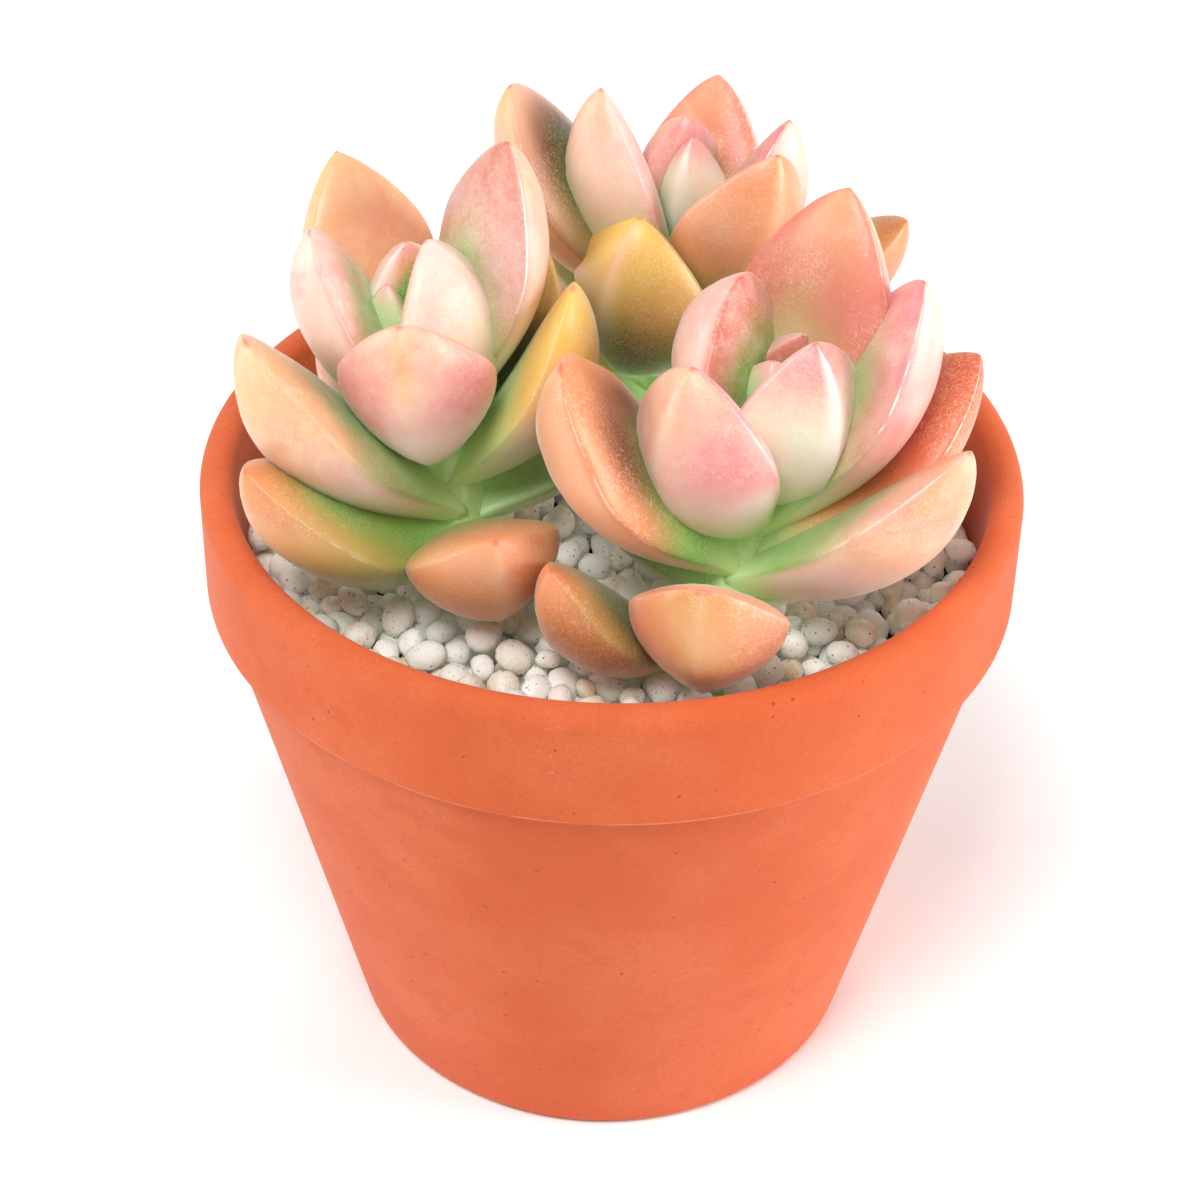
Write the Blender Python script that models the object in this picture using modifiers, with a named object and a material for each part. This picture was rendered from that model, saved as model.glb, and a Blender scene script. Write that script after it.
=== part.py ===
"""Potted graptosedum: three rosettes of thick pointed leaves in a terracotta pot, over soil and white pebbles.

Metres, +Z up. The origin is the middle of the pot's foot. Lengths below are in millimetres and angles in
degrees, and MM turns a length into metres where a mesh is made. Azimuth 0 points along +X and 90 along +Y.
"""

import math
import random
from dataclasses import dataclass

import bmesh
import bpy
import numpy as np

MM = 0.001
GAP = 0.3
SEGMENTS = 48
MERGE = 0.00001

# Pot
RIM_DIAMETER = 110.0
POT_HEIGHT = 91.5
BAND_HEIGHT = 17.4
BAND_STEP = 1.8
BAND_UNDERCUT = 0.4
FOOT_DIAMETER = 73.0
LIP_DIAMETER = 101.6
KNEE_DIAMETER = 98.2
FLOOR_DIAMETER = 65.0
FLOOR = 6.0
DRAIN_DIAMETER = 12.0
RIM_ROUND = 2.6
LIP_ROUND = 1.6
BAND_ROUND = 1.0
FOOT_ROUND = 2.0
FLOOR_ROUND = 3.0
WALL_LEAN = 12.0
ARC_STEPS = 3

# Filling
SOIL_TOP = 74.0
PEBBLE_TOP = 81.4
PEBBLE_SLOPE = 0.028
PEBBLE_PITCH = 7.0
PEBBLE_DEPTH = 2.2
PEBBLE_SHOULDER = 0.6
PEBBLE_SHOULDER_SHARE = 0.64
PEBBLE_JITTER = 0.9
PEBBLE_LIFT = 0.35
PEBBLE_SEED = 7

# Stems
STEM_RADIUS = 3.6
STEM_FOOT = 64.0
STEM_HOLE_RADIUS = 4.5
STEM_HOLE_SIDES = 16
STEM_POINTS = 6

# Leaves
LEAF_STATIONS = (0.0, 0.12, 0.28, 0.45, 0.62, 0.78, 0.91)
LEAF_ANGLES = (0, 45, 90, 135, 180, 212, 244, 270, 296, 328)
LEAF_NECK = 0.36
LEAF_POINT = 1.75
FLESH_NECK = 0.38
FLESH_POINT = 2.3
UPPER_SHARE = 0.25
KEEL = 0.45
STRAIGHT = 1e-4


@dataclass(frozen=True)
class LeafSize:
    """Length, width and thickness of a leaf, how far it curves up, and where along it the leaf is widest."""

    length: float
    width: float
    thickness: float
    bend: float
    widest: float


LONG = LeafSize(38.0, 21.0, 11.0, 18.0, 0.62)
BROAD = LeafSize(38.0, 23.0, 12.0, 24.0, 0.64)
SPOON = LeafSize(38.0, 23.0, 12.0, 24.0, 0.53)
MIDDLE = LeafSize(33.0, 19.0, 11.0, 10.0, 0.60)
FRONT = LeafSize(30.0, 20.0, 13.0, 12.0, 0.61)
YOUNG = LeafSize(25.0, 17.0, 11.0, 8.0, 0.61)
INNER = LeafSize(19.0, 12.5, 7.5, 5.0, 0.62)
BUD = LeafSize(13.5, 8.5, 6.5, 5.0, 0.63)


@dataclass(frozen=True)
class Leaf:
    """One leaf: its size, how far up the stem it grows, where it points, how steeply, and how it is turned."""

    size: LeafSize
    height: float
    azimuth: float
    rise: float
    roll: float = 0.0
    grow: float = 1.0
    bend: float | None = None


@dataclass(frozen=True)
class Plant:
    """One leafy stem: its name, the three points that its stem bends through, and its leaves, youngest first."""

    name: str
    foot: tuple
    waist: tuple
    top: tuple
    leaves: tuple


PLANTS = (
    Plant(
        "plant_left",
        foot=(-19.5, -11.0, 81.0),
        waist=(-20.0, -10.0, 94.5),
        top=(-25.0, -5.0, 107.0),
        leaves=(
            Leaf(BUD, 1.00, 165, 72),
            Leaf(INNER, 1.00, 130, 80),
            Leaf(YOUNG, 0.85, 342, 85),
            Leaf(MIDDLE, 0.80, 185, 57, grow=0.97),
            Leaf(MIDDLE, 0.80, 133, 54, roll=6, grow=1.10),
            Leaf(LONG, 0.80, 29, 70, grow=1.03, bend=8),
            Leaf(FRONT, 0.70, 255, 60, roll=12, bend=0),
            Leaf(LONG, 0.55, 62, 50, grow=0.92),
            Leaf(LONG, 0.52, 352, 47, grow=0.90, bend=30),
            Leaf(LONG, 0.46, 134, 30, grow=0.80),
            Leaf(LONG, 0.38, 206, 39, grow=1.10, bend=20),
            Leaf(LONG, 0.30, 35, 14, grow=0.70),
            Leaf(LONG, 0.26, 95, 14, grow=0.72),
            Leaf(FRONT, 0.20, 283, 21, roll=8, bend=24),
            Leaf(SPOON, 0.18, 214, 23, roll=-6),
        ),
    ),
    Plant(
        "plant_right",
        foot=(14.0, -26.5, 81.0),
        waist=(15.5, -22.5, 92.0),
        top=(22.0, -12.0, 103.0),
        leaves=(
            Leaf(BUD, 1.00, 240, 68, roll=10, grow=1.15),
            Leaf(BUD, 1.00, 60, 76, grow=1.10),
            Leaf(FRONT, 0.80, 152, 72, bend=16),
            Leaf(SPOON, 0.80, 48, 73, grow=1.06, bend=-4),
            Leaf(FRONT, 0.75, 306, 73, grow=0.97, bend=0),
            Leaf(FRONT, 0.66, 226, 57, grow=1.04, bend=18),
            Leaf(LONG, 0.64, 5, 52, grow=1.06),
            Leaf(LONG, 0.55, 16, 29),
            Leaf(LONG, 0.50, 96, 30, grow=0.74),
            Leaf(BROAD, 0.48, 194, 41, roll=-16, grow=1.05),
            Leaf(LONG, 0.38, 345, 27, roll=-20, bend=28),
            Leaf(LONG, 0.34, 56, 14, grow=0.76),
            Leaf(LONG, 0.26, 134, 18, grow=0.72),
            Leaf(LONG, 0.24, 29, 17, grow=0.84),
            Leaf(FRONT, 0.18, 260, 28, bend=28),
            Leaf(MIDDLE, 0.18, 222, 23, grow=0.95),
        ),
    ),
    Plant(
        "plant_back",
        foot=(6.0, 22.0, 81.0),
        waist=(6.0, 21.0, 96.0),
        top=(9.0, 22.0, 112.0),
        leaves=(
            Leaf(INNER, 0.95, 235, 95, grow=0.85),
            Leaf(INNER, 0.95, 160, 84, grow=1.05),
            Leaf(MIDDLE, 0.80, 317, 52, roll=-17, grow=0.95),
            Leaf(MIDDLE, 0.75, 197, 67, roll=4, grow=1.03),
            Leaf(MIDDLE, 0.70, 351, 58, roll=-12),
            Leaf(MIDDLE, 0.70, 71, 49, roll=-16, grow=0.95),
            Leaf(LONG, 0.70, 179, 47, roll=-8, grow=1.03),
            Leaf(LONG, 0.50, 354, 25, grow=1.02),
            Leaf(LONG, 0.45, 128, 30, grow=0.90),
            Leaf(FRONT, 0.42, 253, 57, roll=-20, grow=1.04, bend=20),
            Leaf(LONG, 0.30, 42, 16, grow=0.90),
            Leaf(LONG, 0.22, 212, 16, grow=0.72),
            Leaf(LONG, 0.20, 291, 13, grow=0.68),
            Leaf(LONG, 0.20, 150, 12, grow=0.85),
        ),
    ),
)


def clear_scene():
    """Remove every object that the file opened with."""
    for obj in list(bpy.data.objects):
        bpy.data.objects.remove(obj)


def make_collection(name):
    """Return a new collection linked into the scene."""
    collection = bpy.data.collections.new(name)
    bpy.context.scene.collection.children.link(collection)
    return collection


def make_material(name, colour, roughness):
    """Return a Principled material of one colour."""
    material = bpy.data.materials.new(name)
    material.use_nodes = True
    shader = material.node_tree.nodes["Principled BSDF"]
    shader.inputs["Base Color"].default_value = (*colour, 1.0)
    shader.inputs["Roughness"].default_value = roughness
    shader.inputs["Metallic"].default_value = 0.0
    return material


def add_object(name, mesh, collection):
    """Link a mesh into a collection as an object of the given name."""
    obj = bpy.data.objects.new(name, mesh)
    collection.objects.link(obj)
    return obj


def as_cutter(obj):
    """Hide an object from renders and draw it as wire, because it only cuts others."""
    obj.hide_render = True
    obj.display_type = "WIRE"
    return obj


def arc(centre, radius, start, end):
    """Points (radius, height) along an arc, from the start angle to the end angle."""
    angles = [math.radians(start + (end - start) * k / ARC_STEPS) for k in range(ARC_STEPS + 1)]
    return [(centre[0] + radius * math.cos(a), centre[1] + radius * math.sin(a)) for a in angles]


def inner_radius(z):
    """Radius of the pot's inside wall at a height: steep inside the band, then tapering down to the floor."""
    knee = POT_HEIGHT - BAND_HEIGHT
    if z > knee:
        return (KNEE_DIAMETER + (LIP_DIAMETER - KNEE_DIAMETER) * (z - knee) / BAND_HEIGHT) / 2
    return (FLOOR_DIAMETER + (KNEE_DIAMETER - FLOOR_DIAMETER) * (z - FLOOR) / (knee - FLOOR)) / 2


def pot_profile():
    """Section of the pot: rim band, wall, foot, drainage hole, floor and inside wall, back to the rim."""
    rim = RIM_DIAMETER / 2
    foot = FOOT_DIAMETER / 2
    drain = DRAIN_DIAMETER / 2
    band_bottom = POT_HEIGHT - BAND_HEIGHT
    corner = inner_radius(FLOOR + FLOOR_ROUND) - FLOOR_ROUND
    lip = inner_radius(POT_HEIGHT - LIP_ROUND) + LIP_ROUND
    points = arc((rim - RIM_ROUND, POT_HEIGHT - RIM_ROUND), RIM_ROUND, 90, 0)
    points += arc((rim - BAND_ROUND, band_bottom + BAND_ROUND), BAND_ROUND, 0, -90)
    points += [(rim - BAND_STEP, band_bottom - BAND_UNDERCUT)]
    points += arc((foot - FOOT_ROUND, FOOT_ROUND), FOOT_ROUND, -WALL_LEAN, -90)
    points += [(drain, 0.0), (drain, FLOOR)]
    points += arc((corner, FLOOR + FLOOR_ROUND), FLOOR_ROUND, -90, 0)
    points += [(inner_radius(band_bottom), band_bottom)]
    points += arc((lip, POT_HEIGHT - LIP_ROUND), LIP_ROUND, 180, 90)
    return points


def filling_profile(bottom, top, floor_round=0.0):
    """Section of what fills the pot between two heights, a gap clear of the inside wall."""
    low = inner_radius(bottom + floor_round) - GAP
    points = [(0.0, top), (inner_radius(top) - GAP, top), (low, bottom + floor_round)]
    if floor_round:
        points += [(low - floor_round, bottom)]
    return points + [(0.0, bottom)]


def turned(name, profile, closed, collection):
    """A profile of (radius, height) points turned about Z by a Screw modifier."""
    mesh = bpy.data.meshes.new(name)
    verts = [(r * MM, 0.0, z * MM) for r, z in profile]
    edges = [(k, k + 1) for k in range(len(verts) - 1)]
    if closed:
        edges.append((len(verts) - 1, 0))
    mesh.from_pydata(verts, edges, [])
    obj = add_object(name, mesh, collection)
    screw = obj.modifiers.new("turn", "SCREW")
    screw.steps = SEGMENTS
    screw.render_steps = SEGMENTS
    screw.use_merge_vertices = True
    screw.merge_threshold = MERGE
    screw.use_smooth_shade = False
    return obj


def cut(obj, cutter, operation):
    """Add a Boolean modifier that applies the cutter to the object."""
    boolean = obj.modifiers.new(operation.lower(), "BOOLEAN")
    boolean.operation = operation
    boolean.solver = "EXACT"
    boolean.object = cutter
    return boolean


def evaluated_mesh(obj):
    """Return a copy of the object's mesh with its modifiers applied."""
    bpy.context.view_layer.update()
    graph = bpy.context.evaluated_depsgraph_get()
    return bpy.data.meshes.new_from_object(obj.evaluated_get(graph), depsgraph=graph)


def welded(mesh):
    """Weld the doubled vertices of a mesh, such as those between a tube and its caps, and make its faces flat."""
    sheet = bmesh.new()
    sheet.from_mesh(mesh)
    bmesh.ops.remove_doubles(sheet, verts=sheet.verts, dist=MERGE)
    bmesh.ops.triangulate(sheet, faces=sheet.faces)
    sheet.to_mesh(mesh)
    sheet.free()
    return mesh


def pebble_level(x):
    """Height of the pebbles' tops, which lie a little lower at the left than at the right."""
    return PEBBLE_TOP + PEBBLE_SLOPE * x


def pebble_centres(rows):
    """Shaken hexagonal lattice of pebble tops, as a dictionary from lattice place to point."""
    draw = random.Random(PEBBLE_SEED)
    centres = {}
    for j in range(-rows, rows + 1):
        for i in range(-rows, rows + 1):
            x = PEBBLE_PITCH * (i + 0.5 * (j % 2)) + draw.uniform(-PEBBLE_JITTER, PEBBLE_JITTER)
            y = PEBBLE_PITCH * math.sqrt(0.75) * j + draw.uniform(-PEBBLE_JITTER, PEBBLE_JITTER)
            lift = draw.uniform(-PEBBLE_LIFT, PEBBLE_LIFT)
            centres[i, j] = np.array((x, y, pebble_level(x) + lift))
    return centres


def neighbours(i, j):
    """The six lattice places around one, counterclockwise from +X."""
    shift = j % 2
    above = ((i + shift, j + 1), (i + shift - 1, j + 1))
    below = ((i + shift - 1, j - 1), (i + shift, j - 1))
    return ((i + 1, j), *above, (i - 1, j), *below)


def add_pebble(sheet, centre, valley):
    """Add one low dome: its top, a shoulder around it, and the valley corners that its neighbours share."""
    top = sheet.verts.new(centre * MM)
    shoulder = []
    for vert in valley:
        point = centre + (np.array(vert.co) / MM - centre) * PEBBLE_SHOULDER_SHARE
        point[2] = centre[2] - PEBBLE_SHOULDER
        shoulder.append(sheet.verts.new(point * MM))
    for k in range(6):
        n = (k + 1) % 6
        sheet.faces.new((top, shoulder[k], shoulder[n]))
        sheet.faces.new((shoulder[k], valley[k], valley[n], shoulder[n]))


def pebble_sheet():
    """Open sheet of pebble domes, wider than the pot."""
    rows = math.ceil(RIM_DIAMETER / 2 / PEBBLE_PITCH) + 3
    reach = RIM_DIAMETER / 2 + PEBBLE_PITCH
    centres = pebble_centres(rows)
    sheet = bmesh.new()
    corners = {}
    for (i, j), centre in centres.items():
        if max(abs(i), abs(j)) >= rows or math.hypot(centre[0], centre[1]) > reach:
            continue
        ring = neighbours(i, j)
        valley = []
        for k in range(6):
            meeting = tuple(sorted(((i, j), ring[k], ring[(k + 1) % 6])))
            if meeting not in corners:
                point = sum(centres[place] for place in meeting) / 3
                corners[meeting] = sheet.verts.new((point - (0, 0, PEBBLE_DEPTH)) * MM)
            valley.append(corners[meeting])
        add_pebble(sheet, centre, valley)
    return sheet


def build_gravel(collection, cutters):
    """Pebble layer: the sheet of domes given a flat underside, then cut to the inside of the pot."""
    sheet = pebble_sheet()
    rim = [edge for edge in sheet.edges if edge.is_boundary]
    skirt = bmesh.ops.extrude_edge_only(sheet, edges=rim)["geom"]
    for vert in (v for v in skirt if isinstance(v, bmesh.types.BMVert)):
        vert.co.z = (SOIL_TOP - PEBBLE_PITCH) * MM
    bmesh.ops.contextual_create(sheet, geom=[edge for edge in sheet.edges if edge.is_boundary])
    bmesh.ops.recalc_face_normals(sheet, faces=sheet.faces)
    bmesh.ops.triangulate(sheet, faces=[face for face in sheet.faces if len(face.verts) == 4])
    mesh = bpy.data.meshes.new("gravel")
    sheet.to_mesh(mesh)
    sheet.free()
    gravel = add_object("gravel", mesh, collection)
    limit = turned("gravel_limit", filling_profile(SOIL_TOP + GAP, POT_HEIGHT), False, cutters)
    cut(gravel, as_cutter(limit), "INTERSECT")
    return gravel


def stem_path(plant, share):
    """Point on a plant's stem, at a share of the way from its foot to its top."""
    foot, waist, top = (np.array(p) for p in (plant.foot, plant.waist, plant.top))
    return (1 - share) ** 2 * foot + 2 * share * (1 - share) * waist + share ** 2 * top


def build_stem(plant, collection):
    """Round stem: a bevelled curve from below the pebbles up to the rosette, made a mesh with welded caps."""
    points = [np.array((plant.foot[0], plant.foot[1], STEM_FOOT))]
    points += [stem_path(plant, k / STEM_POINTS) for k in range(STEM_POINTS + 1)]
    curve = bpy.data.curves.new("stem", "CURVE")
    curve.dimensions = "3D"
    curve.bevel_depth = STEM_RADIUS * MM
    curve.bevel_resolution = 3
    curve.use_fill_caps = True
    spline = curve.splines.new("POLY")
    spline.points.add(len(points) - 1)
    for target, point in zip(spline.points, points):
        target.co = (*(point * MM), 1.0)
    guide = add_object("stem_guide", curve, collection)
    stem = add_object(plant.name, welded(evaluated_mesh(guide)), collection)
    bpy.data.objects.remove(guide)
    return stem


def leaf_outline(t, widest):
    """Half width along a leaf, as a share of its largest: a neck, the widest place, then the point."""
    swell = LEAF_NECK + (1 - LEAF_NECK) * math.sin(math.pi / 2 * min(t / widest, 1)) ** 1.5
    return swell * (1 - max((t - widest) / (1 - widest), 0) ** LEAF_POINT)


def leaf_flesh(t, thickest):
    """Thickness along a leaf, as a share of its largest."""
    swell = FLESH_NECK + (1 - FLESH_NECK) * math.sin(math.pi / 2 * min(t / thickest, 1))
    return swell * (1 - max((t - thickest) / (1 - thickest), 0) ** FLESH_POINT) ** 0.75


def leaf_section(angle, half_width, thickness):
    """Point (across, up) of a leaf's section: nearly flat above, full and keeled below."""
    c, s = math.cos(math.radians(angle)), math.sin(math.radians(angle))
    if s >= 0:
        return half_width * c, UPPER_SHARE * thickness * s ** 1.4
    belly = (1 - KEEL) * abs(s) ** 0.95 + KEEL * (1 - abs(c) ** 1.15)
    return half_width * c, -(1 - UPPER_SHARE) * thickness * belly


def leaf_point(leaf, root, t, angle):
    """Point of a leaf's surface, from its share along the leaf and its angle around it."""
    size = leaf.size
    half_width = size.width * leaf.grow / 2 * leaf_outline(t, size.widest)
    thickness = size.thickness * leaf.grow * leaf_flesh(t, size.widest - 0.1)
    across, up = leaf_section(angle, half_width, thickness)
    roll = math.radians(leaf.roll)
    across, up = across * math.cos(roll) - up * math.sin(roll), across * math.sin(roll) + up * math.cos(roll)
    bend = math.radians(size.bend if leaf.bend is None else leaf.bend) or STRAIGHT
    rise = math.radians(leaf.rise)
    slope = rise + bend * t
    length = size.length * leaf.grow
    along = length * (math.sin(slope) - math.sin(rise)) / bend - up * math.sin(slope)
    height = length * (math.cos(rise) - math.cos(slope)) / bend + up * math.cos(slope)
    azimuth = math.radians(leaf.azimuth)
    x = along * math.cos(azimuth) - across * math.sin(azimuth)
    y = along * math.sin(azimuth) + across * math.cos(azimuth)
    return root + (x, y, height)


def build_leaf(plant, leaf, collection):
    """One leaf: rings of its section lofted from the neck in the stem to the point."""
    root = stem_path(plant, leaf.height)
    sheet = bmesh.new()
    rings = [
        [sheet.verts.new(leaf_point(leaf, root, t, angle) * MM) for angle in LEAF_ANGLES]
        for t in LEAF_STATIONS
    ]
    tip = sheet.verts.new(leaf_point(leaf, root, 1.0, 0) * MM)
    count = len(LEAF_ANGLES)
    sheet.faces.new(rings[0])
    for low, high in zip(rings, rings[1:]):
        for k in range(count):
            n = (k + 1) % count
            sheet.faces.new((low[k], low[n], high[n], high[k]))
    for k in range(count):
        sheet.faces.new((rings[-1][k], rings[-1][(k + 1) % count], tip))
    bmesh.ops.recalc_face_normals(sheet, faces=sheet.faces)
    bmesh.ops.triangulate(sheet, faces=sheet.faces)
    mesh = bpy.data.meshes.new("leaf")
    sheet.to_mesh(mesh)
    sheet.free()
    return add_object("leaf", mesh, collection)


def build_plant(plant, collection):
    """A stem and its leaves, fused into one body by a Boolean union on their collection."""
    stem = build_stem(plant, collection)
    leaves = make_collection(plant.name + "_leaves")
    for leaf in plant.leaves:
        build_leaf(plant, leaf, leaves)
    union = stem.modifiers.new("fuse", "BOOLEAN")
    union.operation = "UNION"
    union.solver = "EXACT"
    union.operand_type = "COLLECTION"
    union.collection = leaves
    mesh = evaluated_mesh(stem)
    stem.modifiers.clear()
    stem.data = mesh
    for leaf in list(leaves.objects):
        bpy.data.objects.remove(leaf)
    bpy.data.collections.remove(leaves)
    return stem


def stem_hole(plant, cutters):
    """Upright cylinder around a stem, which leaves a plain hole in the soil and the pebbles."""
    bottom = STEM_FOOT - GAP
    bpy.ops.mesh.primitive_cylinder_add(
        vertices=STEM_HOLE_SIDES,
        radius=STEM_HOLE_RADIUS * MM,
        depth=(POT_HEIGHT - bottom) * MM,
        location=(plant.foot[0] * MM, plant.foot[1] * MM, (POT_HEIGHT + bottom) / 2 * MM),
    )
    hole = bpy.context.active_object
    hole.name = plant.name + "_hole"
    for collection in list(hole.users_collection):
        collection.objects.unlink(hole)
    cutters.objects.link(hole)
    return as_cutter(hole)


def finish(obj, material, parent, sharp_angle):
    """Give an object its material, smooth shading with sharp edges past an angle, and its parent."""
    obj.data.materials.clear()
    obj.data.materials.append(material)
    obj.data.shade_smooth()
    obj.data.set_sharp_from_angle(angle=math.radians(sharp_angle))
    obj.parent = parent


def main():
    """Build the pot, its filling and the three plants."""
    clear_scene()
    parts = make_collection("potted_graptosedum")
    cutters = make_collection("cutters")
    origin = add_object("origin", None, parts)

    pot = turned("pot", pot_profile(), True, parts)
    soil = turned("soil", filling_profile(FLOOR + GAP, SOIL_TOP, FLOOR_ROUND), False, parts)
    gravel = build_gravel(parts, cutters)
    for plant in PLANTS:
        hole = stem_hole(plant, cutters)
        cut(soil, hole, "DIFFERENCE")
        cut(gravel, hole, "DIFFERENCE")
    plants = [build_plant(plant, parts) for plant in PLANTS]

    finish(pot, make_material("terracotta", (0.82, 0.27, 0.11), 0.85), origin, 30)
    finish(soil, make_material("potting_soil", (0.06, 0.04, 0.025), 0.95), origin, 30)
    finish(gravel, make_material("white_pebbles", (0.82, 0.79, 0.72), 0.7), origin, 50)
    leaf_material = make_material("leaf", (0.86, 0.50, 0.32), 0.45)
    for plant in plants:
        finish(plant, leaf_material, origin, 40)


main()
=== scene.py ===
"""The looks of a potted graptosedum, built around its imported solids.

Sizes are in millimetres and angles in degrees, and MM turns a length into metres where a mesh is made.
Azimuth 0 points along +X and 90 along +Y. A leaf's surface is given by its share along the leaf, 0 at the
root and 1 at the point, and by the angle around it: 0 and 180 on its two margins, 90 on its upper face, 270
on the keel below.
"""

import logging
import math
from dataclasses import dataclass, field
from enum import Enum
from typing import Any

import bmesh
import bpy
import numpy as np
from mathutils import Matrix, Vector


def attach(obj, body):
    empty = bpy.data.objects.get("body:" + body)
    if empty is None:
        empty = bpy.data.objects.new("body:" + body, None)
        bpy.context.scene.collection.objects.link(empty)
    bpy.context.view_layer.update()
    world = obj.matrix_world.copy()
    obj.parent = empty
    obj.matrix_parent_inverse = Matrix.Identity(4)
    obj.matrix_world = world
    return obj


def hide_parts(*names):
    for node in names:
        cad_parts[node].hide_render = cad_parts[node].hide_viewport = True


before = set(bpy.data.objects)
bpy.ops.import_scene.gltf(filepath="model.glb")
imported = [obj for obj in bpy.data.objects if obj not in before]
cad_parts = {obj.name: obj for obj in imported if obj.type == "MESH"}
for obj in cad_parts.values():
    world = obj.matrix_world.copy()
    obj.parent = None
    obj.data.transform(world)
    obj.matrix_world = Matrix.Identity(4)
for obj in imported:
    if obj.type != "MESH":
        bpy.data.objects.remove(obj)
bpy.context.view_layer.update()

MM = 0.001
LOG = logging.getLogger("graptosedum")


class Hue(Enum):
    """The plant's and the pot's colours, as they look in daylight."""

    GOLD = "F4CE60"
    HONEY = "F4C68C"
    PEACH = "FAC4A0"
    APRICOT = "F3AE80"
    ORANGE = "EE9A64"
    SALMON = "DA7C62"
    EMBER = "D46A42"
    ROSE = "EF9090"
    PINK = "F9C0B8"
    SHELL = "FDDFD0"
    MILK = "FFF5EC"
    CREAM = "F5E6CA"
    PEARL = "E8EACE"
    MINT = "CCE5AE"
    LEAF = "9ECE7A"
    GRASS = "82BC54"
    OLIVE = "BCAE58"
    # A dark green for the feet of some leaves, darkened further as painted shade where they lie in shadow.
    MOSS = "566A1C"
    KHAKI = "CFC088"
    CORAL = "EE8A78"
    LIME = "C0E690"
    # The necks' pale green, lightened as painted light for the shaded crotches; it also colours the necks'
    # painted glow.
    NECK = "D2F0A8"
    # A dark reddish brown for leaf faces, darkened further as painted shade where those faces turn from the
    # light.
    RUSSET = "84472A"
    CHESTNUT = "CE8244"
    TAN = "E2A664"
    MAUVE = "DAA398"
    CRIMSON = "D84858"

    @property
    def rgb(self) -> np.ndarray:
        """Return the colour as linear red, green and blue."""
        return linear(self.value)


def linear(code: str) -> np.ndarray:
    """Turn a six-digit colour code into linear light.

    Args:
        code: Red, green and blue as two hexadecimal digits each.

    Returns:
        Three linear values from 0 to 1.
    """
    values = np.array([int(code[k:k + 2], 16) / 255 for k in (0, 2, 4)])
    return np.where(values <= 0.04045, values / 12.92, ((values + 0.055) / 1.055) ** 2.4)


def rgba(colour: np.ndarray | str) -> tuple[float, ...]:
    """Return a colour, or the colour of a code, with full opacity, as a socket takes it."""
    return (*map(float, linear(colour) if isinstance(colour, str) else colour), 1.0)


def smooth(low: float, high: float, value: np.ndarray) -> np.ndarray:
    """Rise smoothly from 0 at low to 1 at high: 3x^2 - 2x^3 of the share between them.

    Args:
        low: Where the rise starts.
        high: Where it ends.
        value: The numbers to place on the rise.

    Returns:
        The risen share of each number.
    """
    share = np.clip((np.asarray(value, float) - low) / (high - low), 0, 1)
    return share * share * (3 - 2 * share)


def blend(first: np.ndarray, second: np.ndarray, share: np.ndarray) -> np.ndarray:
    """Mix two colours, or arrays of colours, by a share for each point."""
    return first + (second - first) * np.asarray(share)[..., None]


class Wire:
    """A shader socket that takes part in Python expressions."""

    def __init__(self, board: "Board", socket: Any) -> None:
        """Keep the socket and the board that it is on."""
        self.board = board
        self.socket = socket

    def __add__(self, other: "Wire | float") -> "Wire":
        """Add."""
        return self.board.math("ADD", self, other)

    def __radd__(self, other: float) -> "Wire":
        """Add to a number."""
        return self.board.math("ADD", other, self)

    def __sub__(self, other: "Wire | float") -> "Wire":
        """Subtract."""
        return self.board.math("SUBTRACT", self, other)

    def __rsub__(self, other: float) -> "Wire":
        """Subtract from a number."""
        return self.board.math("SUBTRACT", other, self)

    def __mul__(self, other: "Wire | float") -> "Wire":
        """Multiply."""
        return self.board.math("MULTIPLY", self, other)

    def __rmul__(self, other: float) -> "Wire":
        """Multiply a number."""
        return self.board.math("MULTIPLY", other, self)

    def __pow__(self, other: float) -> "Wire":
        """Raise to a power."""
        return self.board.math("POWER", self, other)

    def __abs__(self) -> "Wire":
        """Drop the sign."""
        return self.board.math("ABSOLUTE", self)

    def rise(self, low: float, high: float) -> "Wire":
        """Rise smoothly from 0 at low to 1 at high.

        Args:
            low: Where the rise starts.
            high: Where it ends; below low, the rise is a fall.

        Returns:
            The risen share.
        """
        settings = {"interpolation_type": "SMOOTHSTEP"}
        if low > high:
            return 1 - self.rise(high, low)
        values = {"Value": self, "From Min": low, "From Max": high}
        return self.board.node("ShaderNodeMapRange", settings, values, "Result")


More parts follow.
